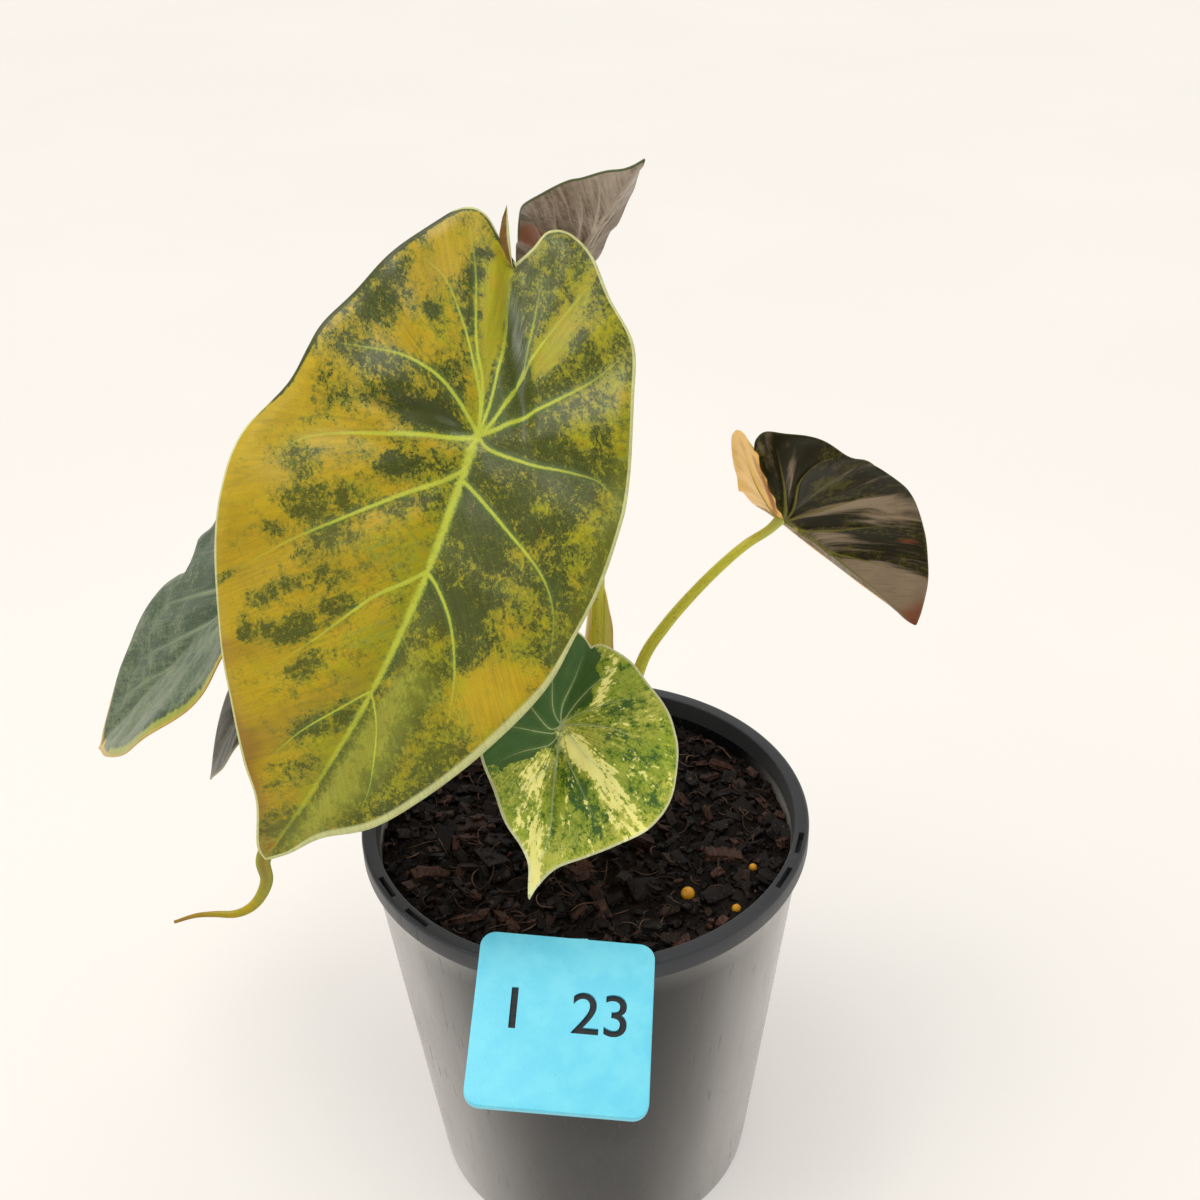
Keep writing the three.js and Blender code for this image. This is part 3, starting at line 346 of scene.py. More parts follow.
# Hollows and swellings of the largest blade, as the patches are, with a height in mm for the strength
LARGE_DENTS = (
    (0.02, -0.11, 0.1, 0.03, 99, -2.2), (-0.16, 0.05, 0.12, 0.026, 22, -2.4),
    (0.06, -0.16, 0.09, 0.035, 99, 1.0), (-0.1, -0.16, 0.1, 0.06, 150, 0.8),
    (0.3, -0.18, 0.12, 0.06, 125, 0.8), (0.3, 0.14, 0.12, 0.05, 60, 0.8),
)

# Colour controls of a leaf that has nothing of its own for them, and of a part without ribs
PLAIN_TONES = {
    "dark": 0.4, "depth": 0.93, "olive": 0.0, "flush": 0.0, "wash": 0.5, "hem": 0.4, "bloom": 0.0,
}
FAR_FROM_RIBS = {"vein": 9.0, "beside": 9.0, "strength": 0.0, "edge": 9.0}


def half(outline, fold, cup, width=1.0):
    return {"outline": outline, "fold": fold, "cup": cup, "width": width}


# The leaves. at is where the stalk meets the blade. heading, fall and roll turn the blade, bow and
# lean bend its midrib sideways, and droop and lobe_droop bend it down. Port is the half to the left
# of someone who looks along the midrib from the stalk. stalk lists the points that the stalk passes.
LEAVES = {
    "large": {
        "at": (-21.8, -22.0, 261.1), "heading": -136.2, "fall": 45.3, "roll": -30.0, "length": 117.6,
        "droop": 22.0, "lobe_droop": 10.0, "bow": 0.058, "lean": 0.32,
        "port": half(LARGE_RIGHT, 6.0, 22.0), "starboard": half(LARGE_LEFT, 10.0, 30.0),
        "wave": (1.2, 9, 40.0), "spacing": 0.95, "quilt": 0.9, "ribs": LARGE_RIBS,
        "foot": (-5.2, -3.8), "stalk": ((-7.5, -3.5, 150), (-13, -0.5, 190), (-18, -4.5, 225)),
        "radius": (2.7, 1.7), "sheath": (0.16, 0.42, 3.6, (0.9, 0.3, 0)), "slot": "leaf_gold",
    },
    "front": {
        "at": (-5.3, -22.0, 176.5), "heading": -102.4, "fall": 33.0, "roll": -14.0, "length": 46.25,
        "droop": 8.0, "lobe_droop": 4.0, "bow": -0.015, "lean": -0.185,
        "port": half(FRONT_RIGHT, 12.0, 28.0), "starboard": half(FRONT_LEFT, 30.0, 30.0),
        "wave": (0.8, 7, 0.0), "spacing": 0.55, "quilt": 0.5, "ribs": FRONT_RIBS,
        "foot": (1.2, -6.3), "stalk": ((0.8, -6.8, 138), (-1.5, -9.5, 156)),
        "radius": (2.0, 1.2), "slot": "leaf_lime",
    },
    "right": {
        "at": (56.7, 19.7, 214.8), "heading": 36.6, "fall": 32.1, "roll": -35.5, "length": 68.6,
        "droop": 34.6, "lobe_droop": -42.2, "bow": 0.058, "lean": 0.47,
        "port": half(RIGHT_NEAR, 38.1, 14.7), "starboard": half(RIGHT_FAR, 12.9, 4.4),
        "wave": (0.7, 8, 90.0), "spacing": 0.7, "quilt": 0.8, "ribs": RIGHT_RIBS,
        "foot": (6.3, 0.6),
        "stalk": (
            (8, 2, 138), (11.5, 4.5, 154), (17.7, 6.5, 178), (23.9, 8, 187.8), (30.8, 9.3, 196.2),
            (38.4, 10.6, 204.2), (45.7, 12.2, 210.3),
        ),
        "seat": 0.15, "radius": (2.4, 1.25), "sheath": (0.17, 0.46, 3.2, (-0.8, 0.2, 0.5)),
        "slot": "leaf_bronze",
    },
    "upright": {
        "at": (-0.3, 22.0, 283.8), "heading": -59.9, "fall": -40.5, "roll": -25.2, "length": 47.6,
        "droop": -17.7, "lobe_droop": 14.8, "bow": -0.04, "lean": -0.21,
        "port": half(COMMON_HALF, 57.0, 20.8), "starboard": half(UPRIGHT_FAR, 27.8, 17.2),
        "wave": (0.8, 8, 20.0), "spacing": 0.6, "quilt": 0.6, "ribs": UPRIGHT_RIBS,
        "foot": (0.4, 0.2),
        "stalk": ((1.8, 4, 145), (3.6, 10, 165), (5, 14.5, 188), (5, 19, 215), (2, 24, 245)),
        "radius": (2.7, 1.5), "sheath": (0.15, 0.5, 4.4, (0.25, -1, 0)), "slot": "leaf_bronze",
    },
    "left": {
        "at": (-75.2, 17.2, 216.7), "heading": 169.0, "fall": 46.3, "roll": -17.0, "length": 115.0,
        "droop": 3.3, "lobe_droop": 15.0, "bow": 0.016, "lean": 0.0,
        "port": half(COMMON_HALF, 15.9, 22.9, 1.145), "starboard": half(LEFT_UPPER, 16.3, 41.3),
        "wave": (1.6, 9, 0.0), "spacing": 1.0, "quilt": 1.2, "ribs": DARK_RIBS,
        "foot": (-3.4, 5.6), "stalk": ((-6, 7.5, 140), (-15, 10.5, 162), (-34, 14.5, 190), (-56, 17, 208)),
        "radius": (2.5, 1.5), "slot": "leaf_dark",
    },
    "low": {
        "at": (-82.7, -2.0, 186.8), "heading": 172.3, "fall": 53.0, "roll": -18.3, "length": 52.8,
        "droop": 14.7, "lobe_droop": 15.0, "bow": 0.005, "lean": 0.0,
        "port": half(COMMON_HALF, 12.0, 24.4), "starboard": half(COMMON_HALF, 8.4, 27.0),
        "wave": (0.8, 7, 60.0), "spacing": 0.65, "quilt": 0.6, "ribs": DARK_RIBS,
        "foot": (-6.8, 1.4), "stalk": ((-10, 2, 136), (-22, 3, 151), (-44, 1.5, 170), (-66, -1, 181)),
        "radius": (2.0, 1.2), "slot": "leaf_dark",
    },
}

# Drawn-out tip of the largest blade, and the narrow pointed flap in its notch
TAIL = (
    (-76.5, -58, 169.5), (-78.5, -60.2, 165.5), (-78, -61.7, 160.8), (-80, -63, 156.3), (-82.7, -64, 153.7),
    (-86.5, -64.5, 152.3), (-91.7, -64.5, 152.4), (-96.4, -64, 151.6), (-102.4, -63, 148.7),
)
FLAP_FOOT = (-13.9, 1.9, 291.6)
FLAP_TOP = (-13.7, 4.7, 307.4)

# Camera
CAMERA_EYE = (5.79, -341.43, 411.66)
CAMERA_FORWARD = (0.0, 0.8515, -0.5244)
CAMERA_RIGHT = (0.9997, -0.0126, -0.0204)
CAMERA_LENS = 45.0
CAMERA_SENSOR = 36.0

# Floor and light
FLOOR_SIZE = 8.0
FLOOR_GLOW = 0.41
STUDIO_STRENGTH = 0.82
STUDIO_SHADE = (0.0, -0.93, 0.37)
KEY_STRENGTH = 0.9
KEY_SPREAD = 50.0
WINDOW_POWER = 1.6


# Objects and meshes
def deselect():
    for item in bpy.context.selected_objects:
        item.select_set(False)


def make_active(piece):
    deselect()
    piece.select_set(True)
    bpy.context.view_layer.objects.active = piece


def mesh_piece(name, points, faces):
    mesh = bpy.data.meshes.new(name)
    mesh.from_pydata([tuple(p) for p in np.asarray(points, float) * MM], [], [tuple(f) for f in faces])
    mesh.update()
    piece = bpy.data.objects.new(name, mesh)
    bpy.context.scene.collection.objects.link(piece)
    return piece


def apply_modifier(piece, kind, **settings):
    make_active(piece)
    modifier = piece.modifiers.new(kind.lower(), kind)
    for key, value in settings.items():
        setattr(modifier, key, value)
    bpy.ops.object.modifier_apply(modifier=modifier.name)


def freeze(piece):
    make_active(piece)
    bpy.ops.object.transform_apply(location=True, rotation=True, scale=True)


def shade(piece, angle=None):
    make_active(piece)
    if angle is None:
        bpy.ops.object.shade_smooth()
    else:
        bpy.ops.object.shade_smooth_by_angle(angle=math.radians(angle))


def edit_all():
    """Opens the active piece in edit mode, with all of it selected."""
    bpy.ops.object.mode_set(mode="EDIT")
    bpy.ops.mesh.select_all(action="SELECT")


def end_edit():
    bpy.ops.object.mode_set(mode="OBJECT")


def face_outward(piece):
    make_active(piece)
    edit_all()
    bpy.ops.mesh.normals_make_consistent(inside=False)
    end_edit()


def join(pieces, name):
    deselect()
    for piece in pieces:
        piece.select_set(True)
    bpy.context.view_layer.objects.active = pieces[0]
    bpy.ops.object.join()
    pieces[0].name = name
    return pieces[0]


def vertex_values(piece, name, values):
    layer = piece.data.attributes.new(name, "FLOAT", "POINT")
    layer.data.foreach_set("value", np.asarray(values, np.float32))


def write_map(piece, name, places):
    layer = piece.data.uv_layers.new(name=name)
    corners = np.zeros(len(piece.data.loops), np.int32)
    piece.data.loops.foreach_get("vertex_index", corners)
    layer.data.foreach_set("uv", places[corners].astype(np.float32).ravel())


def place(piece, material, slot, *nodes):
    piece.data.materials.clear()
    piece.data.materials.append(material)
    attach(piece, "root")
    if nodes:
        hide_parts(*nodes)


# Shader nodes
def node(tree, kind, inputs=None, **settings):
    made = tree.nodes.new(kind)
    for key, value in settings.items():
        setattr(made, key, value)
    for key, value in (inputs or {}).items():
        socket = made.inputs[key]
        if isinstance(value, bpy.types.NodeSocket):
            tree.links.new(value, socket)
        else:
            socket.default_value = value
    return made


def colour(red, green, blue):
    return (red, green, blue, 1.0)


def seen(red, green, blue):
    """Colour as a screen shows it, each part from 0 to 255."""
    parts = [value / 255 for value in (red, green, blue)]
    return colour(*(v / 12.92 if v < 0.04 else ((v + 0.055) / 1.055) ** 2.4 for v in parts))


def maths(tree, operation, first, second=0.0):
    return node(tree, "ShaderNodeMath", {0: first, 1: second}, operation=operation).outputs[0]


def plus(tree, first, second):
    return maths(tree, "ADD", first, second)


def minus(tree, first, second):
    return maths(tree, "SUBTRACT", first, second)


def times(tree, first, second):
    return maths(tree, "MULTIPLY", first, second)


def dot(tree, first, second):
    inputs = {0: first, 1: second}
    return node(tree, "ShaderNodeVectorMath", inputs, operation="DOT_PRODUCT").outputs["Value"]


def blend(tree, share, first, second, mode="MIX"):
    inputs = {0: share, 6: first, 7: second}
    return node(tree, "ShaderNodeMix", inputs, data_type="RGBA", blend_type=mode).outputs[2]


def ramp(tree, value, low, high, start=0.0, end=1.0):
    inputs = {0: value, 1: low, 2: high, 3: start, 4: end}
    return node(tree, "ShaderNodeMapRange", inputs, interpolation_type="SMOOTHSTEP").outputs[0]


def graded(tree, value, low, high, first, second, most=1.0):
    """The first colour, and more of the second the higher the value is."""
    return blend(tree, ramp(tree, value, low, high, 0.0, most), first, second)


def grain(tree, vector, scale, detail=3.0, roughness=0.55, distortion=0.0):
    inputs = {"Vector": vector, "Scale": scale, "Detail": detail, "Roughness": roughness}
    inputs["Distortion"] = distortion
    return node(tree, "ShaderNodeTexNoise", inputs).outputs["Fac"]


def cells(tree, vector, scale, feature="F1", output="Distance"):
    inputs = {"Vector": vector, "Scale": scale}
    return node(tree, "ShaderNodeTexVoronoi", inputs, feature=feature).outputs[output]


def stretched(tree, vector, scale, turn=0.0):
    inputs = {"Vector": vector, "Scale": scale, "Rotation": (0.0, 0.0, math.radians(turn))}
    return node(tree, "ShaderNodeMapping", inputs).outputs[0]


def value_of(tree, name):
    return node(tree, "ShaderNodeAttribute", attribute_name=name).outputs["Fac"]


def map_of(tree, name):
    return node(tree, "ShaderNodeUVMap", uv_map=name).outputs[0]


def place_of(tree):
    return node(tree, "ShaderNodeTexCoord").outputs["Object"]


def new_group(name, vectors, numbers, results):
    """A node group with its vector inputs, its number inputs and its outputs, which are numbers."""
    tree = bpy.data.node_groups.new(name, "ShaderNodeTree")
    for label in vectors:
        tree.interface.new_socket(label, in_out="INPUT", socket_type="NodeSocketVector")
    for label in numbers:
        tree.interface.new_socket(label, in_out="INPUT", socket_type="NodeSocketFloat")
    for label in results:
        tree.interface.new_socket(label, in_out="OUTPUT", socket_type="NodeSocketFloat")
    return tree, tree.nodes.new("NodeGroupInput").outputs, tree.nodes.new("NodeGroupOutput").inputs


def group_node(tree, group, inputs):
    return node(tree, "ShaderNodeGroup", inputs, node_tree=group).outputs


def centred(tree, value, strength):
    """A value between 0 and 1 as a swing of the given strength about 0."""
    return times(tree, minus(tree, value, 0.5), strength)


def mottle_group():
    """Ragged patches that break into cells: dark ones, a wider half tone, specks, streaks and painted sheen
    bands.
    """
    tree, given, out = new_group(
        "leaf_mottle", ["Plane", "Flow"], ["Amount", "Patch", "Streak"],
        ["Dark", "Half", "Speck", "Streaks", "PaintedSheenBands", "Ground"],
    )
    plane, flow = given["Plane"], given["Flow"]
    speck = cells(tree, plane, 290.0, output="Color")
    streaks = grain(tree, stretched(tree, flow, (70.0, 14.0, 1.0)), 1.0, 6.0, 0.7)
    parts = (
        centred(tree, grain(tree, plane, given["Patch"], 9.0, 0.7, 0.5), 2.3),
        centred(tree, grain(tree, plane, 45.0, 6.0, 0.66, 0.5), 1.4),
        times(tree, centred(tree, streaks, 1.0), given["Streak"]),
        centred(tree, grain(tree, plane, 110.0, 4.0, 0.7), 0.9),
        centred(tree, cells(tree, plane, 120.0, output="Color"), 0.4),
        centred(tree, speck, 0.4),
    )
    level = given["Amount"]
    for part in parts:
        level = plus(tree, level, part)
    seldom = ramp(tree, level, 0.7, 1.35, 1.0, 0.0)
    painted_sheen_bands = grain(tree, stretched(tree, flow, (30.0, 6.0, 1.0)), 1.0, 4.0, 0.62, 0.8)
    tree.links.new(ramp(tree, level, 0.47, 0.58), out["Dark"])
    tree.links.new(ramp(tree, level, 0.02, 0.45), out["Half"])
    tree.links.new(times(tree, ramp(tree, speck, 0.55, 0.75), seldom), out["Speck"])
    tree.links.new(grain(tree, stretched(tree, flow, (90.0, 12.0, 1.0), 3.0), 1.0, 6.0, 0.7), out["Streaks"])
    tree.links.new(painted_sheen_bands, out["PaintedSheenBands"])
    tree.links.new(grain(tree, plane, 16.0, 5.0, 0.6, 0.6), out["Ground"])
    return tree


def leaf_skin_group():
    """Fine net of small veins and grain of a leaf's skin, as a height and as a mask of the net."""
    tree, given, out = new_group("leaf_skin", ["Plane", "Flow"], ["Net"], ["Height", "Lines"])
    net = cells(tree, given["Plane"], given["Net"], feature="DISTANCE_TO_EDGE")
    lines = ramp(tree, net, 0.0, 0.08, 1.0, 0.0)
    side = grain(tree, stretched(tree, given["Flow"], (30.0, 4.0, 1.0)), 1.0, 2.0, 0.5)
    ribbed = ramp(tree, maths(tree, "ABSOLUTE", minus(tree, side, 0.5)), 0.0, 0.03, 1.0, 0.0)
    fine = grain(tree, given["Plane"], 900.0, 2.0, 0.5)
    height = plus(tree, times(tree, fine, 0.2), times(tree, lines, -0.12))
    height = plus(tree, height, times(tree, ribbed, -0.2))
    height = plus(tree, height, times(tree, grain(tree, given["Plane"], 30.0, 3.0), 1.1))
    tree.links.new(height, out["Height"])
    tree.links.new(maths(tree, "MAXIMUM", times(tree, lines, 0.5), ribbed), out["Lines"])
    return tree


def wear_group():
    """Fine scratches, dust and scuffs of used plastic."""
    tree, given, out = new_group("plastic_wear", ["Vector"], [], ["Scratches", "Dust"])
    marks = []
    for turn, length in ((12.0, 18.0), (-38.0, 14.0), (74.0, 22.0)):
        line = grain(tree, stretched(tree, given["Vector"], (900.0, 900.0, length), turn), 1.0, 1.0, 0.4)
        marks.append(ramp(tree, line, 0.69, 0.74))
    scratches = maths(tree, "MAXIMUM", maths(tree, "MAXIMUM", marks[0], marks[1]), marks[2])
    cloud = grain(tree, given["Vector"], 60.0, 4.0, 0.6)
    specks = ramp(tree, cells(tree, given["Vector"], 420.0), 0.05, 0.16, 1.0, 0.0)
    sparse = ramp(tree, cloud, 0.52, 0.66)
    tree.links.new(times(tree, scratches, ramp(tree, cloud, 0.4, 0.7)), out["Scratches"])
    tree.links.new(times(tree, specks, sparse), out["Dust"])
    return tree


MOTTLE = mottle_group()
LEAF_SKIN = leaf_skin_group()
WEAR = wear_group()


def new_material(name):
    material = bpy.data.materials.new(name)
    material.use_nodes = True
    tree = material.node_tree
    return material, tree, tree.nodes["Principled BSDF"]


def fixed(shader, name, value):
    """Sets a value that is the same all over the surface."""
    shader.inputs[name].default_value = value


def dress(tree, shader, paint, rough, height, strength, distance):
    """Gives a surface its colour, its roughness and its relief."""
    relief = {"Height": height, "Strength": strength, "Distance": distance}
    tree.links.new(paint, shader.inputs["Base Color"])
    tree.links.new(rough, shader.inputs["Roughness"])
    tree.links.new(node(tree, "ShaderNodeBump", relief).outputs[0], shader.inputs["Normal"])


# Colours of each leaf, as a screen shows them. gold and lime are the ground of the upper side, mid and
# dark its mottle, olive a third tone and flush a warm stain. The under_ colours are the lower side's;
# under_painted_sheen is a painted sheen on it.
LEAF_COLOURS = {
    "large": {
        "gold": (190, 160, 28), "lime": (166, 160, 20), "mid": (124, 127, 38), "dark": (60, 68, 24),
        "olive": (150, 154, 56), "flush": (148, 106, 34), "rib": (194, 202, 66), "halo": (92, 122, 62),
        "border": (206, 208, 142), "under": (150, 128, 84), "under_dark": (104, 72, 58),
        "under_painted_sheen": (140, 112, 92), "under_rib": (172, 156, 108), "under_olive": (160, 150, 80),
    },
    "front": {
        "gold": (186, 206, 66), "lime": (218, 222, 90), "mid": (116, 156, 20), "dark": (62, 106, 46),
        "olive": (255, 246, 150), "flush": (244, 226, 176), "rib": (200, 216, 156),
        "halo": (108, 146, 64), "border": (232, 234, 178), "under": (160, 164, 96),
        "under_dark": (96, 88, 62), "under_painted_sheen": (140, 140, 90), "under_rib": (176, 172, 120),
        "under_olive": (206, 206, 150),
    },
    "right": {
        "gold": (96, 108, 48), "lime": (112, 124, 56), "mid": (70, 84, 40), "dark": (50, 66, 36),
        "olive": (206, 182, 120), "flush": (140, 72, 40), "rib": (140, 150, 84), "halo": (84, 98, 54),
        "border": (96, 98, 58), "under": (78, 74, 12), "under_dark": (36, 32, 4),
        "under_painted_sheen": (170, 149, 122), "under_rib": (132, 126, 54), "under_olive": (252, 204, 122),
    },
    "upright": {
        "gold": (96, 104, 56), "lime": (104, 112, 62), "mid": (76, 86, 46), "dark": (56, 68, 40),
        "olive": (128, 112, 64), "flush": (156, 98, 62), "rib": (140, 140, 96), "halo": (90, 100, 60),
        "border": (86, 92, 60), "under": (146, 126, 108), "under_dark": (112, 92, 72),
        "under_painted_sheen": (190, 176, 160), "under_rib": (200, 186, 168), "under_olive": (94, 82, 56),
    },
    "left": {
        "gold": (100, 112, 80), "lime": (112, 124, 84), "mid": (74, 94, 60), "dark": (48, 70, 40),
        "olive": (164, 168, 58), "flush": (150, 84, 40), "rib": (130, 142, 100), "halo": (150, 158, 126),
        "border": (200, 168, 76), "under": (132, 104, 84), "under_dark": (98, 74, 62),
        "under_painted_sheen": (150, 124, 104), "under_rib": (168, 152, 122), "under_olive": (150, 130, 90),
    },
    "low": {
        "gold": (92, 94, 72), "lime": (104, 106, 82), "mid": (80, 84, 62), "dark": (64, 70, 50),
        "olive": (140, 136, 84), "flush": (150, 124, 92), "rib": (136, 138, 110), "halo": (100, 104, 78),
        "border": (150, 146, 104), "under": (120, 102, 86), "under_dark": (92, 78, 66),
        "under_painted_sheen": (146, 128, 110), "under_rib": (164, 150, 124), "under_olive": (150, 130, 90),
    },
}

# patch and streak steer the mottle, fray the edges of the third tone, late puts that tone over the
# mottle, gloss is the shine, and painted_glow the strength of a painted glow, emission that stands in
# for light that shows through the third tone from behind.
LEAF_FINISH = {
    "large": {"patch": 15.0, "streak": 0.6, "fray": 1.3, "late": 0.0, "gloss": 0.3, "painted_glow": 0.0},
    "front": {"patch": 22.0, "streak": 1.6, "fray": 2.6, "late": 1.0, "gloss": 0.3, "painted_glow": 0.3},
    "right": {"patch": 24.0, "streak": 0.8, "fray": 0.35, "late": 1.0, "gloss": 0.08, "painted_glow": 0.36},
    "upright": {"patch": 20.0, "streak": 0.7, "fray": 1.2, "late": 1.0, "gloss": 0.2, "painted_glow": 0.0},
    "left": {"patch": 12.0, "streak": 1.0, "fray": 0.5, "late": 1.0, "gloss": 0.3, "painted_glow": 0.0},
    "low": {"patch": 18.0, "streak": 1.0, "fray": 0.5, "late": 1.0, "gloss": 0.3, "painted_glow": 0.0},
}


def leaf_material(name):
    tones = {key: seen(*value) for key, value in LEAF_COLOURS[name].items()}
    finish = LEAF_FINISH[name]
    material, tree, shader = new_material("leaf_" + name)
    plane, flow = map_of(tree, "plane"), map_of(tree, "flow")
    strength, upper = value_of(tree, "strength"), value_of(tree, "upper")
    skin = group_node(tree, LEAF_SKIN, {"Plane": plane, "Flow": flow, "Net": 55.0})
    given = {"Plane": plane, "Flow": flow, "Amount": value_of(tree, "dark")}
    marks = group_node(tree, MOTTLE, given | {"Patch": finish["patch"], "Streak": finish["streak"]})
    frayed = centred(tree, grain(tree, plane, 150.0, 4.0, 0.7), 1.6)
    vein = plus(tree, value_of(tree, "vein"), frayed)
    rib = times(tree, ramp(tree, vein, 0.35, 1.45, 1.0, 0.0), strength)
    beside = plus(tree, value_of(tree, "beside"), times(tree, frayed, 0.5))
    halo = times(tree, ramp(tree, beside, 0.0, 1.2, 1.0, 0.0), strength)
    hem_width = value_of(tree, "hem")
    hem_start = times(tree, hem_width, 0.7)
    hem = ramp(tree, value_of(tree, "edge"), hem_start, times(tree, hem_width, 1.25), 1.0, 0.0)
    hem = times(tree, hem, ramp(tree, hem_width, 0.1, 0.2))
    clouds = centred(tree, marks["Ground"], 1.0)
    third = plus(tree, value_of(tree, "olive"), centred(tree, marks["Streaks"], finish["fray"]))
    third = plus(tree, third, centred(tree, grain(tree, plane, 60.0, 6.0, 0.7), finish["fray"]))
    third = ramp(tree, third, 0.4, 0.62)
    late = times(tree, third, finish["late"] * 0.9)
    flush = ramp(tree, plus(tree, value_of(tree, "flush"), clouds), 0.1, 0.9, 0.0, 0.85)
    wash = plus(tree, value_of(tree, "wash"), times(tree, clouds, 2.4))
    ground = graded(tree, wash, 0.1, 0.9, tones["gold"], tones["lime"])
    ground = blend(tree, flush, ground, tones["flush"])
    ground = blend(tree, times(tree, third, (1.0 - finish["late"]) * 0.85), ground, tones["olive"])
    darkest = blend(tree, times(tree, marks["Speck"], 0.55), tones["dark"], tones["mid"])
    paint = blend(tree, times(tree, marks["Half"], 0.7), ground, tones["mid"])
    paint = blend(tree, times(tree, marks["Dark"], value_of(tree, "depth")), paint, darkest)
    paint = blend(tree, late, paint, tones["olive"])
    paint = blend(tree, times(tree, skin["Lines"], 0.16), paint, tones["halo"])
    beside = times(tree, halo, ramp(tree, marks["Dark"], 0.0, 1.0, 0.1, 0.5))
    paint = blend(tree, beside, paint, tones["halo"])
    paint = blend(tree, times(tree, rib, 0.9), paint, tones["rib"])
    paint = blend(tree, hem, paint, tones["border"])
    streaky = ramp(tree, marks["Streaks"], 0.38, 0.62, 0.3, 1.0)
    # Painted highlight: a pale grey-green glint where bloom is set, broken up by the streaks
    paint = blend(tree, times(tree, value_of(tree, "bloom"), streaky), paint, seen(150, 158, 142))
    below = blend(tree, marks["Half"], tones["under"], tones["under_dark"])
    # Painted sheen: the lower side turns pale in bands where the sheen noise and the wash are high
    painted_sheen = plus(tree, marks["PaintedSheenBands"], centred(tree, value_of(tree, "wash"), 0.5))
    below = graded(tree, painted_sheen, 0.38, 0.8, below, tones["under_painted_sheen"], 0.9)
    below = blend(tree, late, below, tones["under_olive"])
    below = graded(tree, marks["Streaks"], 0.48, 0.66, below, tones["under_dark"], 0.35)
    below = blend(tree, flush, below, tones["flush"])
    below = blend(tree, times(tree, rib, 0.85), below, tones["under_rib"])
    below = blend(tree, hem, below, tones["border"])
    paint = blend(tree, upper, below, paint)
    fine = ramp(tree, grain(tree, plane, 420.0, 3.0, 0.7), 0.3, 0.7, 0.84, 1.12)
    fine = times(tree, fine, ramp(tree, marks["Ground"], 0.3, 0.7, 0.94, 1.06))
    fine = times(tree, fine, ramp(tree, marks["Streaks"], 0.35, 0.65, 0.92, 1.08))
    paint = blend(tree, 1.0, paint, fine, mode="MULTIPLY")
    rough = plus(tree, times(tree, grain(tree, plane, 130.0, 2.0), 0.16), 0.3)
    rough = plus(tree, rough, times(tree, rib, 0.1))
    dress(tree, shader, paint, rough, skin["Height"], 0.3, 0.00025)
    # Painted glow: emission of the third tone stands in for light that shows through the leaf from behind
    if finish["painted_glow"]:
        through = blend(tree, late, colour(0.0, 0.0, 0.0), paint)
        tree.links.new(through, shader.inputs["Emission Color"])
        fixed(shader, "Emission Strength", finish["painted_glow"])
    fixed(shader, "Specular IOR Level", finish["gloss"])
    return material


# Curves and the skins over them
def spline(points, count):
    """Smooth curve through points, with its end points doubled."""
    given = np.array(points, float)
    given = np.vstack([given[0], given, given[-1]])
    runs = len(given) - 3
    t = np.linspace(0, runs, count + 1)
    k = np.minimum(t.astype(int), runs - 1)
    w = (t - k)[:, None]
    a, b, c, d = given[k], given[k + 1], given[k + 2], given[k + 3]
    bend = (2 * a - 5 * b + 4 * c - d) * w**2 + (3 * b - a - 3 * c + d) * w**3
    return 0.5 * (2 * b + (c - a) * w + bend)


def even(line, count):
    """The same line with its points evenly spaced."""
    far = np.concatenate([[0], np.cumsum(np.linalg.norm(np.diff(line, axis=0), axis=1))])
    at = np.linspace(0, far[-1], count + 1)
    return np.stack([np.interp(at, far, part) for part in line.T], axis=1)


def centripetal(points, count):
    """Smooth curve through points whose speed follows the square root of their spacing."""
    given = np.array(points, float)
    given = np.vstack([2 * given[0] - given[1], given, 2 * given[-1] - given[-2]])
    runs = len(given) - 3
    result = []
    for t in np.linspace(0, runs, count + 1):
        k = min(int(t), runs - 1)
        w = t - k
        a, b, c, d = given[k : k + 4]
        before, here, after = (math.sqrt(np.linalg.norm(q - p)) for p, q in ((a, b), (b, c), (c, d)))
        start = ((b - a) / before - (c - a) / (before + here) + (c - b) / here) * here
        end = ((c - b) / here - (d - b) / (here + after) + (d - c) / after) * here
        turn = (-3 * b + 3 * c - 2 * start - end) * w**2 + (2 * b - 2 * c + start + end) * w**3
        result.append(b + start * w + turn)
    return even(np.array(result), count)


def carried_axes(line):
    """Tangent and two cross directions at each point, carried along without twist."""
    tangents = np.gradient(line, axis=0)
    tangents = tangents / np.linalg.norm(tangents, axis=1)[:, None]
    first = np.cross(tangents[0], (0.3, 0.9, 0.2))
    normals = [first / np.linalg.norm(first)]
    for tangent in tangents[1:]:
        carried = normals[-1] - tangent * np.dot(normals[-1], tangent)
        normals.append(carried / np.linalg.norm(carried))
    normals = np.array(normals)
    return tangents, normals, np.cross(tangents, normals)


def ring_at(line, axes, i, wide, deep):
    """Points round a line's point i, at distances along its two cross directions."""
    return line[i] + axes[0][i] * wide[:, None] + axes[1][i] * deep[:, None]


def both_faces(across):
    """Shares from side to side on the outer face, and back again on the inner."""
    for layer in (1, -1):
        for j in range(across + 1):
            yield layer, j / across if layer > 0 else 1 - j / across


def swept(rings):
    """Closed skin over rings with the same number of points: vertices and faces."""
    ring = len(rings[0])
    faces = [tuple(range(ring))[::-1]]
    for i in range(len(rings) - 1):
        low, high = i * ring, (i + 1) * ring
        faces += [(low + k, low + (k + 1) % ring, high + (k + 1) % ring, high + k) for k in range(ring)]
    last = (len(rings) - 1) * ring
    faces.append(tuple(last + k for k in range(ring)))
    return np.vstack(rings), faces


def vertex_normals(points, faces):
    a, b, c = points[faces[:, 0]], points[faces[:, 1]], points[faces[:, 2]]
    flat = np.cross(b - a, c - a)
    total = np.zeros_like(points)
    for corner in range(3):
        np.add.at(total, faces[:, corner], flat)
    return total / np.maximum(np.linalg.norm(total, axis=1), 1e-12)[:, None]


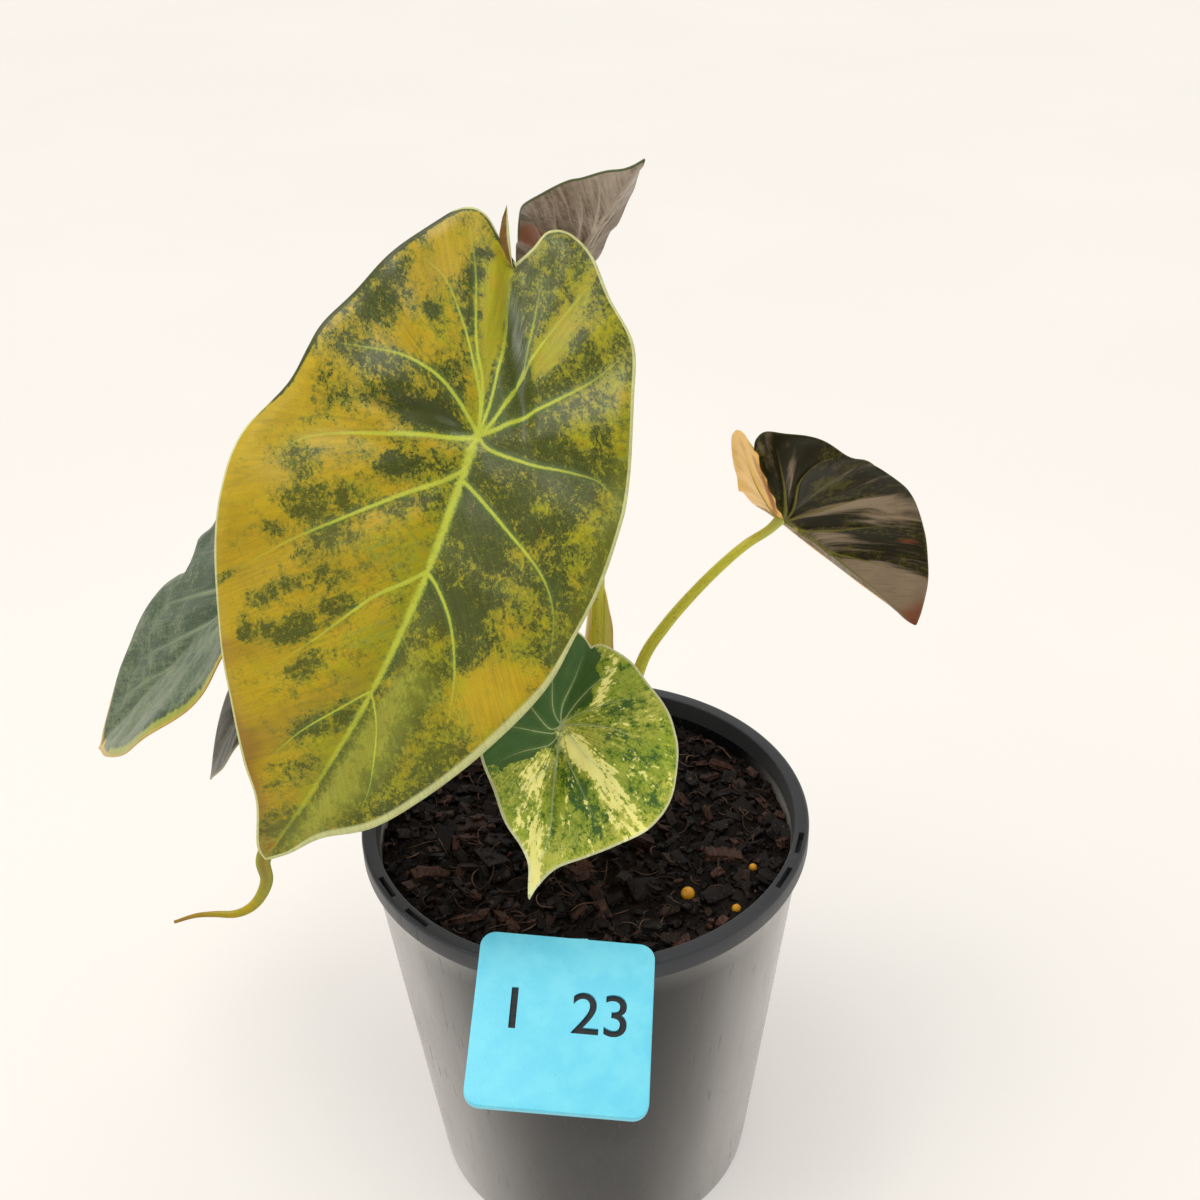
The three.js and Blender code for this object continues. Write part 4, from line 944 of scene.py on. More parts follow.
# Blades
def blade_axes(leaf):
    heading, fall, roll = (math.radians(leaf[key]) for key in ("heading", "fall", "roll"))
    flat = math.cos(fall)
    midrib = np.array((math.cos(heading) * flat, math.sin(heading) * flat, -math.sin(fall)))
    level = np.array((-math.sin(heading), math.cos(heading), 0.0))
    up = np.cross(midrib, level)
    across = level * math.cos(roll) + up * math.sin(roll)
    face = up * math.cos(roll) - level * math.sin(roll)
    return midrib, across, face


def arc(distance, start, turn):
    """Length along and rise of an arc that leaves at angle start and turns by turn per millimetre."""
    turn = np.where(np.abs(turn) < 1e-9, 1e-9, turn)
    end = start - turn * distance
    return (np.sin(start) - np.sin(end)) / turn, (np.cos(end) - np.cos(start)) / turn


def margin(leaf, steps):
    """The margin once round in the plane: notch to tip along starboard, tip to notch along port."""
    sides = []
    for key, side in (("port", 1), ("starboard", -1)):
        part = leaf[key]
        run = spline([(x, y * part["width"]) for x, y in part["outline"]], steps)
        run[:, 1] = side * np.maximum(run[:, 1], 0)
        sides.append(run)
    return np.vstack([sides[1][:-1], sides[0][::-1][:-1]])


def reach_of(rim, points):
    """How far out each point lies, from 0 at the stalk to 1 at the margin."""
    turn = np.arctan2(rim[:, 1], rim[:, 0])
    order = np.argsort(turn)
    edge = np.interp(
        np.arctan2(points[:, 1], points[:, 0]), turn[order], np.hypot(*rim.T)[order], period=2 * math.pi
    )
    return np.hypot(*points.T) / edge


def blade_surface(leaf, points, reach):
    """Points of the plane, in shares of the length, laid on the folded, bent and waved blade."""
    midrib, across, face = blade_axes(leaf)
    x, y = points.T
    length = leaf["length"]
    port, starboard = leaf["port"], leaf["starboard"]
    side = np.where(y >= 0, 1.0, -1.0)
    fold = np.radians(np.where(y >= 0, port["fold"], starboard["fold"]))
    cup = np.radians(np.where(y >= 0, port["cup"], starboard["cup"])) / length
    bend = np.radians(np.where(x > 0, leaf["droop"], leaf["lobe_droop"])) / length
    ahead, rise = arc(x * length, 0.0, bend)
    out, lift = arc(np.abs(y) * length, fold, cup)
    lift = lift * (1 - np.exp(-((y * length / CREASE_WIDTH) ** 2)))
    height, count, phase = leaf["wave"]
    angle = np.arctan2(np.abs(y), x)
    ripple = height * reach**2 * np.sin(angle) * np.sin(count * angle + math.radians(phase) + side)
    offset = np.where(x > 0, 4 * leaf["bow"] * x * (1 - x), leaf["lean"] * x) * length
    turn = bend * x * length
    normal = face * np.cos(turn)[:, None] + midrib * np.sin(turn)[:, None]
    return (
        np.array(leaf["at"]) + midrib * ahead[:, None] + face * rise[:, None]
        + across * (side * out + offset)[:, None] + normal * (lift + ripple)[:, None]
    )


def spread_out(points, near):
    """Drops each point that lies closer than near to an earlier one."""
    kept = []
    taken = {}
    for i, (x, y) in enumerate(points):
        column, row = int(x // near), int(y // near)
        crowd = (
            q for dx in (-1, 0, 1) for dy in (-1, 0, 1) for q in taken.get((column + dx, row + dy), ())
        )
        if all((q[0] - x) ** 2 + (q[1] - y) ** 2 >= near * near for q in crowd):
            taken.setdefault((column, row), []).append((x, y))
            kept.append(i)
    return kept


def inside(points, polygon):
    x, y = points.T
    result = np.zeros(len(points), bool)
    for (ax, ay), (bx, by) in zip(polygon, np.roll(polygon, -1, 0)):
        if ay != by:
            cross = (ay > y) != (by > y)
            result ^= cross & (x < (bx - ax) * (y - ay) / (by - ay) + ax)
    return result


def tree_of(points):
    found = kdtree.KDTree(len(points))
    for i, (x, y) in enumerate(points):
        found.insert((x, y, 0), i)
    found.balance()
    return found


def nearest(found, points):
    hits = [found.find((x, y, 0)) for x, y in points]
    return np.array([h[2] for h in hits]), np.array([h[1] for h in hits])


def offset_lines(line, out):
    """The two lines that run beside a line at a distance."""
    ahead = np.gradient(line, axis=0)
    ahead = ahead / np.hypot(*ahead.T)[:, None]
    across = np.c_[-ahead[:, 1], ahead[:, 0]] * np.reshape(out, (-1, 1))
    return [line + across, line - across]


def rib_lines(ribs, length, spacing):
    """Mesh points on the ribs and beside them, and a fine line of (x, y, half width, prominence)."""
    middles, beside, fine = [], [], []
    for points, start, end in ribs:
        curve = spline(points, 200) * length
        run = np.hypot(*np.diff(curve, axis=0).T).sum()
        line = even(curve, max(8, int(run / spacing)))
        middles.append(line)
        first = np.maximum(np.linspace(start, end, len(line)), 0.45)
        beside += offset_lines(line, first) + offset_lines(line, first + 0.6)
        close = even(curve, int(run / RIB_STEP))
        prominence = np.clip(np.linspace(1.7, 0.15, len(close)), 0, 1)
        fine.append(np.c_[close, np.linspace(start, end, len(close)), prominence])
    return np.vstack(middles), np.vstack(beside), np.vstack(fine)


def blade_plan(leaf):
    """The flat blade in mm: its points with the margin's first, its triangles, and its ribs."""
    length, spacing = leaf["length"], leaf["spacing"]
    rim = margin(leaf, MARGIN_STEPS) * length
    rim = rim[spread_out(rim, spacing * 0.6)]
    middles, beside, fine = rib_lines(leaf["ribs"], length, spacing * 0.7)
    closed = np.vstack([rim, rim[:2]])
    hem = np.vstack([offset_lines(closed, out)[0] for out in HEM_ROWS])
    rows = np.arange(rim[:, 1].min(), rim[:, 1].max(), spacing * 0.866)
    along = np.arange(rim[:, 0].min(), rim[:, 0].max(), spacing)
    lattice = [np.c_[along + (k % 2) * spacing / 2, np.full(len(along), y)] for k, y in enumerate(rows)]
    inner = np.vstack([middles, hem, beside, *lattice])
    inner = inner[inside(inner, rim)]
    edge_tree = tree_of(margin(leaf, FINE_MARGIN_STEPS) * length)
    inner = inner[nearest(edge_tree, inner)[0] > 0.33]
    inner = inner[spread_out(inner, spacing * 0.42)]
    flat = np.vstack([rim, inner])
    result = delaunay_2d_cdt([Vector(p) for p in flat], [], [list(range(len(rim)))], 1, 1e-5, False)
    flat = np.array([tuple(v) for v in result[0]])
    faces = np.array([f for f in result[2] if len(f) == 3])
    faces = faces[inside(flat[faces].mean(axis=1), rim)]
    far, index = nearest(tree_of(fine[:, :2]), flat)
    edge = nearest(edge_tree, flat)[0]
    edge[: len(rim)] = 0
    return flat, faces, len(rim), (far, fine[index, 2], fine[index, 3]), edge


def patches(points, table):
    """Sum of soft-edged ellipses at each point."""
    total = np.zeros(len(points))
    for along, out, long, wide, turn, strength in table:
        c, s = math.cos(math.radians(turn)), math.sin(math.radians(turn))
        dx, dy = points[:, 0] - along, points[:, 1] - out
        far = np.hypot((dx * c + dy * s) / long, (dy * c - dx * s) / wide)
        total += strength * np.clip(1.6 - far, 0, 1) ** 1.5
    return total


def flow_of(name, points):
    """Position across and along the run of the side ribs, which fan out from the stalk."""
    x, y = points[:, 0], np.abs(points[:, 1])
    slope = {"front": 0.0, "left": 1.8}.get(name, 1.1)
    ahead = x - slope * y
    split = math.atan2(1.0, slope)
    fan = np.arctan2(y, x)
    if name == "front":
        return np.c_[np.arctan2(points[:, 1], x) * 0.42, np.hypot(x, y)]
    across = np.where(ahead > 0, ahead, -(fan - split) * 0.28)
    along = np.where(ahead > 0, y, np.hypot(x, y) * math.sin(split))
    return np.c_[across, along + 3.0 * (points[:, 1] < 0)]


def step(values, start, end):
    return np.clip((values - start) / (end - start), 0, 1)


# What steers the colours of each leaf: dark and depth its mottle, olive its third tone, flush its
# stain, wash its ground and the painted sheen of its lower side, bloom a painted highlight and
# hem the width of its pale edge in mm.
def large_tones(x, y, edge):
    points = np.c_[x, y]
    left = y < 0
    upper = left * (1 - step(x, -0.05, 0.1))
    dark = np.where(left, 0.08 - 0.4 * np.exp(-edge / 9) * (1 - upper), 0.6)
    gold = patches(points, LARGE_GOLD)
    dark = dark + 0.66 * (patches(points, LARGE_DARK_AND_HOLLOW_SHADE) + gold)
    olive = patches(points, LARGE_OLIVE)
    golden = 0.75 + 0.5 * gold * step(x, 0.1, 0.3)
    wash = np.where(left, np.exp(-np.abs(y) / 0.1), golden) * (1 - step(x, 0.75, 0.95))
    hem = np.where(left, 0.5, 0.55 + 1.1 * step(x, 0.25, 0.45) * (1 - step(x, 0.85, 0.95)))
    rolled = left * step(x, -0.42, -0.36) * (1 - step(x, 0.12, 0.22))
    hem = hem * (1 - 0.9 * rolled)
    dark = dark + 1.6 * rolled * step(1.0 - edge, 0.0, 0.5)
    flush = patches(points, LARGE_FLUSH) + 0.9 * left * step(x, 0.5, 0.8) * np.exp(-edge / 4)
    depth = np.where(left, 0.8 + 0.15 * rolled, 0.9) - 0.6 * np.clip(olive, 0, 1) * (1 - rolled)
    bloom = patches(points, LARGE_PAINTED_GLINTS)
    return {
        "dark": dark, "depth": depth, "olive": olive, "flush": flush, "wash": wash, "hem": hem, "bloom": bloom
    }


def front_tones(x, y, edge):
    border_line = np.interp(x, *zip(*FRONT_BORDER)) - 0.014 * np.sin(45 * x)
    solid = step(border_line - y, -0.006, 0.006) * (x + 0.015 * np.sin(50 * y) < 0.35)
    cream = patches(np.c_[x, y], FRONT_CREAM)
    dark = 0.24 + patches(np.c_[x, y], FRONT_DARK) - 0.4 * cream
    dark = dark - 0.3 * np.exp(-edge / 1.2) - 0.5 * step(x, 0.75, 0.95)
    return {
        "dark": np.where(solid > 0.5, 1.9, dark), "olive": np.where(solid > 0.5, -3.0, cream),
        "flush": 0.8 * step(x, 0.8, 0.95), "wash": 0.5 + 0.4 * np.sin(9 * x + 7 * y), "hem": 0.4,
    }


def right_tones(x, y, edge):
    tan = step(y - 0.007 * np.sin(44 * x), -0.01, 0.015) * step(-x, -0.2, -0.12)
    strip = step(y, 0.0, 0.02) * step(x, 0.12, 0.2)
    points = np.c_[x, y]
    flush = patches(points, RIGHT_FLUSH)
    return {
        "dark": 0.42 + patches(points, RIGHT_DARK), "wash": 0.2 + patches(points, RIGHT_PAINTED_SHEEN),
        "olive": np.maximum(tan * 1.4, strip * (0.35 + 0.4 * np.exp(-edge / 1.5))) - 0.1,
        "flush": np.maximum(step(x, 0.82, 0.97), flush), "hem": 0.12,
    }


def upright_tones(x, y, edge):
    flush = patches(np.c_[x, y], ((-0.25, -0.2, 0.12, 0.1, 0, 1.0), (0.12, -0.26, 0.12, 0.07, 30, 0.9)))
    olive = patches(np.c_[x, y], ((0.21, -0.33, 0.08, 0.035, 40, 0.8),))
    return {"dark": 0.3, "olive": olive, "flush": flush, "wash": 0.42 + 0.5 * step(x, 0.3, 0.9), "hem": 0.25}


def left_tones(x, y, edge):
    lower = np.exp(-edge / 2.4) * (y > 0) * step(x, -0.2, 0.3)
    dark = np.where(y < 0, 0.72, 0.45) - 0.3 * step(x, 0.4, 0.8)
    tip = step(x, 0.93, 0.97)
    olive = 1.2 * lower * (1 - step(x, 0.72, 0.82))
    hem = 0.35 + 2.8 * step(x, 0.72, 0.88) * (0.35 + 0.65 * (y > 0))
    return {"dark": dark, "olive": olive, "flush": 0.7 * tip, "wash": 0.4, "hem": hem}


def low_tones(x, y, edge):
    return {"dark": 0.4, "olive": 0.0, "flush": 0.7 * step(x, 0.8, 1.0), "hem": 0.3}


TONES = {
    "large": large_tones, "front": front_tones, "right": right_tones, "upright": upright_tones,
    "left": left_tones, "low": low_tones,
}


def blade_mesh(name, leaf):
    length = leaf["length"]
    flat, faces, count, (far, width, fade), edge = blade_plan(leaf)
    points = flat / length
    broad = width / width.max()
    ridge = np.exp(-((far / (width + 0.15)) ** 2))
    surface = blade_surface(leaf, points, reach_of(margin(leaf, MARGIN_STEPS), points))
    normals = vertex_normals(surface, faces)
    inward = np.clip(edge / 3.0, 0, 1)
    swell = leaf["quilt"] * (1 - np.exp(-((far / 6.0) ** 2))) * inward
    swell -= 0.4 * np.exp(-far / 1.8) * inward * fade * (0.4 + broad)
    swell += 0.35 * inward * np.array([noise.noise(Vector((x / 9, y / 9, 0.3))) for x, y in flat])
    if name == "large":
        swell += patches(points, LARGE_DENTS)
    surface = surface + normals * swell[:, None]
    normals = vertex_normals(surface, faces)
    thick = BLADE_THICKNESS / 2
    upper = surface + normals * (thick + RIB_RISE * ridge * fade * (0.3 + broad))[:, None]
    lower = surface - normals * (thick + RIB_DROP * ridge * fade * (0.3 + broad))[:, None]
    total = len(flat)
    ahead = np.roll(surface[:count], -1, 0) - np.roll(surface[:count], 1, 0)
    outward = np.cross(ahead, normals[:count])
    outward = outward / np.linalg.norm(outward, axis=1)[:, None]
    middle = surface[:count] + outward * thick
    solid = [tuple(f) for f in faces] + [(a + total, c + total, b + total) for a, b, c in faces]
    for i in range(count):
        j = (i + 1) % count
        solid.append((i, i + 2 * total, j + 2 * total, j))
        solid.append((i + total, j + total, j + 2 * total, i + 2 * total))
    piece = mesh_piece("blade_" + name, np.vstack([upper, lower, middle]), solid)
    face_outward(piece)
    values = {"vein": far / width, "beside": far - width, "strength": fade, "edge": edge}
    values |= PLAIN_TONES | TONES[name](*points.T, edge)
    for key, value in values.items():
        value = np.broadcast_to(value, total)
        vertex_values(piece, key, np.concatenate([value, value, value[:count]]))
    vertex_values(piece, "upper", np.concatenate([np.ones(total), np.zeros(total), np.full(count, 0.6)]))
    write_map(piece, "plane", np.vstack([flat, flat, flat[:count]]) / 100)
    flow = flow_of(name, points) * length / 100
    write_map(piece, "flow", np.vstack([flow, flow, flow[:count]]))
    shade(piece)
    return piece


# Stalks
def face_normal(leaf):
    _, across, face = blade_axes(leaf)
    lean = math.radians(leaf["port"]["fold"] - leaf["starboard"]["fold"]) / 2
    return face * math.cos(lean) - across * math.sin(lean)


def stalk_line(leaf, count):
    x, y = leaf["foot"]
    meet = np.array(leaf["at"])
    normal = face_normal(leaf)
    passed = [np.array(p, float) for p in leaf["stalk"]]
    approach = meet - passed[-1]
    approach = approach / np.linalg.norm(approach)
    arrival = approach + normal * leaf.get("seat", 1.0)
    arrival = arrival / np.linalg.norm(arrival)
    ends = [meet - arrival * 6, meet - arrival * STALK_STOP]
    return centripetal([(x, y, SOCKET_BOTTOM + GAP), (x, y, CROWN_TOP + 1), *passed, *ends], count)


def stalk_piece(name, leaf):
    steps, sides = 150, 32
    line = stalk_line(leaf, steps)
    tangents, *axes = carried_axes(line)
    low, high = leaf["radius"]
    turns = np.linspace(0, 2 * math.pi, sides, endpoint=False)
    rings = []
    for i in range(steps + 1):
        share = i / steps
        radius = low + (high - low) * share
        flare = 0.35 * math.exp(-(1 - share) * 55)
        swell = 0.066 * math.exp(-(((share - 0.02) / 0.05) ** 2))
        groove = 1 - 0.1 * np.exp(-(((turns - math.pi) / 0.5) ** 2)) + 0.012 * np.cos(9 * turns)
        around = radius * (1 + flare + swell) * groove
        rings.append(ring_at(line, axes, i, np.cos(turns) * around, np.sin(turns) * around))
    vertices, faces = swept(rings)
    piece = mesh_piece("stalk_" + name, vertices, faces)
    share = np.repeat(np.linspace(0, 1, steps + 1), sides)
    around = np.tile(turns / (2 * math.pi), steps + 1)
    length = np.linalg.norm(np.diff(line, axis=0), axis=1).sum()
    plane = np.c_[around * low * 2 * math.pi, share * length] / 100
    parts = [(piece, share, plane, np.zeros(len(share)))]
    if "sheath" in leaf:
        parts.append(sheath_piece(name, leaf, line, tangents))
    for part, along, plane, edge in parts:
        vertex_values(part, "along", along)
        vertex_values(part, "edge", edge)
        vertex_values(part, "sheath", np.full(len(along), float(part is not piece)))
        write_map(part, "plane", plane)
    piece = join([part[0] for part in parts], "stalk_" + name)
    shade(piece, 50)
    return piece


def sheath_piece(name, leaf, line, tangents):
    """Thin open channel that wraps the lower part of the stalk, with a fine curled edge."""
    start, end, reach, facing = leaf["sheath"]
    low, high = leaf["radius"]
    steps, across, span = 60, 28, 115.0
    rings, edges, shares, planes = [], [], [], []
    for i in range(steps + 1):
        t = start + (end - start) * i / steps
        at = t * (len(line) - 1)
        k = min(int(at), len(line) - 2)
        centre = line[k] + (line[k + 1] - line[k]) * (at - k)
        radius = low + (high - low) * t
        swell = math.sin(math.pi * i / steps) ** 0.7
        wide = radius * 0.55 + (reach - radius * 0.55) * swell
        front = np.array(facing, float)
        front = front - tangents[k] * np.dot(front, tangents[k])
        front = front / np.linalg.norm(front)
        side = np.cross(tangents[k], front)
        centre = centre + front * (wide - radius * 0.55)
        ring = []
        for layer, share in both_faces(across):
            out = abs(2 * share - 1)
            turn = math.radians(180 + span * (2 * share - 1))
            thick = 0.4 * (1 - 0.65 * out**3)
            r = wide + layer * thick + 0.35 * swell * out**4 * math.sin(i * 0.55 + 2 * share)
            ring.append(centre + front * math.cos(turn) * r + side * math.sin(turn) * r)
            edges.append(out**5 * swell)
            shares.append(t)
            planes.append(((share - 0.5) * 0.1, t))
        rings.append(np.array(ring))
    vertices, faces = swept(rings)
    piece = mesh_piece("sheath_" + name, vertices, faces)
    return piece, np.array(shares), np.array(planes), np.array(edges)


def stalk_material():
    material, tree, shader = new_material("stalk_green")
    plane = map_of(tree, "plane")
    along = value_of(tree, "along")
    wash = grain(tree, place_of(tree), 90.0, 3.0)
    streaks = grain(tree, stretched(tree, plane, (260.0, 8.0, 1.0)), 1.0, 3.0, 0.6)
    specks = ramp(tree, cells(tree, stretched(tree, plane, (120.0, 60.0, 1.0)), 1.0), 0.1, 0.24, 1.0, 0.0)
    paint = graded(tree, along, 0.05, 0.6, colour(0.54, 0.48, 0.07), colour(0.64, 0.61, 0.05))
    paint = graded(tree, streaks, 0.4, 0.7, paint, colour(0.42, 0.4, 0.05), 0.55)
    paint = graded(tree, wash, 0.5, 0.72, paint, colour(0.5, 0.33, 0.08), 0.4)
    paint = blend(tree, times(tree, specks, 0.6), paint, colour(0.09, 0.07, 0.025))
    paint = graded(tree, along, 0.9, 1.0, paint, colour(0.5, 0.55, 0.12), 0.8)
    sheath = value_of(tree, "sheath")
    paint = blend(tree, times(tree, sheath, 0.7), paint, colour(0.72, 0.68, 0.24))
    paint = blend(tree, value_of(tree, "edge"), paint, colour(0.42, 0.17, 0.08))
    height = plus(tree, streaks, times(tree, specks, 0.3))
    rough = ramp(tree, streaks, 0.3, 0.7, 0.34, 0.5)
    dress(tree, shader, paint, rough, height, 0.3, 0.0003)
    # Painted glow: emission of the stalk's own colour, fullest on the sheath, stands in for light that shows
    # through
    through = blend(tree, ramp(tree, sheath, 0.0, 1.0, 0.6, 0.0), paint, colour(0.0, 0.0, 0.0))
    tree.links.new(through, shader.inputs["Emission Color"])
    fixed(shader, "Emission Strength", STALK_PAINTED_GLOW)
    fixed(shader, "Specular IOR Level", 0.35)
    return material


# Largest blade: its tail and its flap
def tail_piece():
    steps, sides = 90, 20
    line = centripetal(TAIL, steps)
    _, *axes = carried_axes(line)
    turns = np.linspace(0, 2 * math.pi, sides, endpoint=False)
    rings = []
    for i in range(steps + 1):
        share = i / steps
        wide = 1.75 * (1 - share) ** 1.3 + 0.42
        deep = 0.9 * (1 - share) ** 1.2 + 0.36
        hollow = 0.75 * max(0.0, 1 - share * 2.2) * np.exp(-(((turns - math.pi / 2) / 0.7) ** 2))
        width = np.cos(turns) * wide
        depth = np.sin(turns) * deep - hollow * deep * 1.4
        rings.append(ring_at(line, axes, i, width, depth))
    vertices, faces = swept(rings)
    piece = mesh_piece("tail", vertices, faces)
    share = np.repeat(np.linspace(0, 1, steps + 1), sides)
    inner = np.tile(np.exp(-(((turns - math.pi / 2) / 0.6) ** 2)), steps + 1) * np.clip(1 - share * 2.5, 0, 1)
    values = PLAIN_TONES | FAR_FROM_RIBS | {
        "depth": 0.0, "dark": -0.6, "olive": np.clip(0.9 - share, 0, 1) * 0.9,
        "flush": np.clip(inner * 1.4 + share**2 * 0.9, 0, 1), "upper": 1 - inner,
    }
    for key, value in values.items():
        vertex_values(piece, key, np.broadcast_to(value, len(share)))
    plane = np.c_[np.tile(turns, steps + 1) * 0.01 + 2, share * 0.4]
    write_map(piece, "plane", plane)
    write_map(piece, "flow", plane)
    return piece


def flap_piece():
    foot = np.array(FLAP_FOOT)
    up = np.array(FLAP_TOP) - foot
    tall = np.linalg.norm(up)
    up = up / tall
    through = np.cross((1.0, 0, 0), up)
    through = through / np.linalg.norm(through)
    right = np.cross(up, through)
    steps, across, low = 40, 10, 1.6
    left_edge = ((low, 0.7), (4, -0.5), (7, -1.7), (9.2, -2.0), (13, -1.2), (16, 0))
    rings, shares, planes = [], [], []
    for i in range(steps + 1):
        z = low + (tall - low) * i / steps
        left = np.interp(z, *zip(*left_edge)) + 0.05
        edge = 1.0 - z / 16.0
        ring = []
        for layer, share in both_faces(across):
            x = left + (edge - left) * share
            curl = 0.9 * (share - 0.5) ** 2 * (edge - left)
            thick = 0.22 * (1 + 0.5 * share**6)
            ring.append(foot + up * z + right * x + through * (0.4 + curl + layer * thick))
            shares.append(share)
            planes.append((x / 100 + 3, z / 100))
        rings.append(np.array(ring))
    vertices, faces = swept(rings)
    piece = mesh_piece("flap", vertices, faces)
    values = PLAIN_TONES | FAR_FROM_RIBS | {
        "edge": (1 - np.array(shares)) * 1.1, "hem": 0.3, "depth": 0.0, "dark": 0.3, "wash": 0.0,
        "flush": 0.5, "upper": 0.0,
    }
    for key, value in values.items():
        vertex_values(piece, key, np.broadcast_to(value, len(shares)))
    write_map(piece, "plane", np.array(planes))
    write_map(piece, "flow", np.array(planes))
    return piece


def make_leaves():
    stalk_finish = stalk_material()
    for name, leaf in LEAVES.items():
        blade = blade_mesh(name, leaf)
        if name == "large":
            blade = join([blade, tail_piece(), flap_piece()], "blade_large")
            shade(blade)
        place(blade, leaf_material(name), leaf["slot"], "leaf_blade_" + name)
        place(stalk_piece(name, leaf), stalk_finish, "stalk_green", "leaf_stalk_" + name)


# Turned pieces
def lathe(name, profile, sides):
    """A disc that is drawn out ring by ring along the profile, (radius, height) in millimetres."""
    deselect()
    first, height = profile[0]
    bpy.ops.mesh.primitive_circle_add(
        vertices=sides, radius=first * MM, fill_type="NGON", location=(0, 0, height * MM)
    )
    piece = bpy.context.active_object
    piece.name = name
    freeze(piece)
    edit_all()
    radius = first
    for next_radius, next_height in profile[1:]:
        bpy.ops.mesh.extrude_region_move(
            TRANSFORM_OT_translate={"value": (0, 0, (next_height - height) * MM)}
        )
        grow = next_radius / radius
        bpy.ops.transform.resize(value=(grow, grow, 1), center_override=(0, 0, next_height * MM))
        radius, height = next_radius, next_height
    end_edit()
    face_outward(piece)
    return piece


def inner_radius(z):
    return INNER_FOOT_RADIUS + (MOUTH_RADIUS - INNER_FOOT_RADIUS) * z / POT_HEIGHT


def wall_radius(z):
    return FOOT_RADIUS + (WALL_TOP_RADIUS - FOOT_RADIUS) * z / (POT_HEIGHT - RIM_HEIGHT)


def rounded(centre_r, centre_z, radius, start, end, steps):
    angles = [math.radians(start + (end - start) * i / steps) for i in range(steps + 1)]
    return [(centre_r + radius * math.cos(a), centre_z + radius * math.sin(a)) for a in angles]


def pot_profile():
    skirt = POT_HEIGHT - RIM_HEIGHT
    recess = BASE_RECESS
    ring = FOOT_RADIUS - FOOT_RING_WIDTH
    boss = BASE_BOSS_RADIUS
    profile = [(1.0, 0), (boss - 0.4, 0), (boss, 0.3), (boss + 0.9, recess)]
    profile += [(ring - recess, recess), (ring - 0.2, 0.25), (ring + 0.2, 0)]
    profile += rounded(FOOT_RADIUS - 1.0, 1.0, 1.0, -90, 0, 5)
    profile += [(wall_radius(z), z) for z in (6, 20, 40, 60, 80, 100, 115, skirt - 1.2)]
    profile += [(wall_radius(skirt) + 0.12, skirt - 0.35), (wall_radius(skirt) + 0.5, skirt)]
    profile += rounded(RIM_RADIUS - 0.5, skirt + 0.5, 0.5, -90, 0, 4)
    profile += rounded(RIM_RADIUS - 1.1, POT_HEIGHT - 1.1, 1.1, 0, 90, 6)
    profile += rounded(MOUTH_RADIUS + 0.7, POT_HEIGHT - 0.7, 0.7, 90, 180, 5)
    profile += [(inner_radius(z), z) for z in (126, 118, 90, 60, 30, 5)]
    profile += [(inner_radius(3.2) - 0.6, 3.2), (inner_radius(FLOOR_THICKNESS) - 2, FLOOR_THICKNESS)]
    return profile + [(1.0, FLOOR_THICKNESS)]


def box_of(size):
    """A box about the origin, left open in edit mode."""
    deselect()
    bpy.ops.mesh.primitive_cube_add(size=MM)
    edit_all()
    bpy.ops.transform.resize(value=size)
    return bpy.context.active_object


def cutter_box(turn, radius, size, height):
    box = box_of(size)
    bpy.ops.mesh.bevel(offset=SLOT_ROUND * MM, segments=3)
    bpy.ops.transform.translate(value=(radius * MM, 0, height * MM))
    end_edit()
    box.data.transform(Matrix.Rotation(math.radians(turn), 4, "Z"))
    return box


def cutter_post(x, y, radius, bottom, top):
    deselect()
    middle = (x * MM, y * MM, (bottom + top) / 2 * MM)
    tall = (top - bottom) * MM
    bpy.ops.mesh.primitive_cylinder_add(vertices=32, radius=radius * MM, depth=tall, location=middle)
    post = bpy.context.active_object
    freeze(post)
    return post


def cut(piece, cutters):
    tool = join(cutters, "cutters")
    apply_modifier(piece, "BOOLEAN", object=tool, operation="DIFFERENCE", solver="EXACT")
    bpy.data.objects.remove(tool)


def make_pot():
    pot = lathe("nursery_pot", pot_profile(), 192)
    cutters = []
    for angle in HANGER_ANGLES:
        for side in (SLOT_SPREAD, -SLOT_SPREAD):
            size = (SLOT_WIDTH, SLOT_LENGTH, SLOT_DEPTH * 2)
            cutters.append(cutter_box(angle + side, SLOT_CIRCLE_RADIUS, size, POT_HEIGHT))
    for i in range(DRAIN_HOLES):
        turn = 2 * math.pi * (i + 0.5) / DRAIN_HOLES
        x, y = DRAIN_CIRCLE_RADIUS * math.cos(turn), DRAIN_CIRCLE_RADIUS * math.sin(turn)
        cutters.append(cutter_post(x, y, DRAIN_HOLE_RADIUS, -5, FLOOR_THICKNESS + 5))
    cut(pot, cutters)
    shade(pot, 32)
    place(pot, pot_material(), "pot_black", "pot")


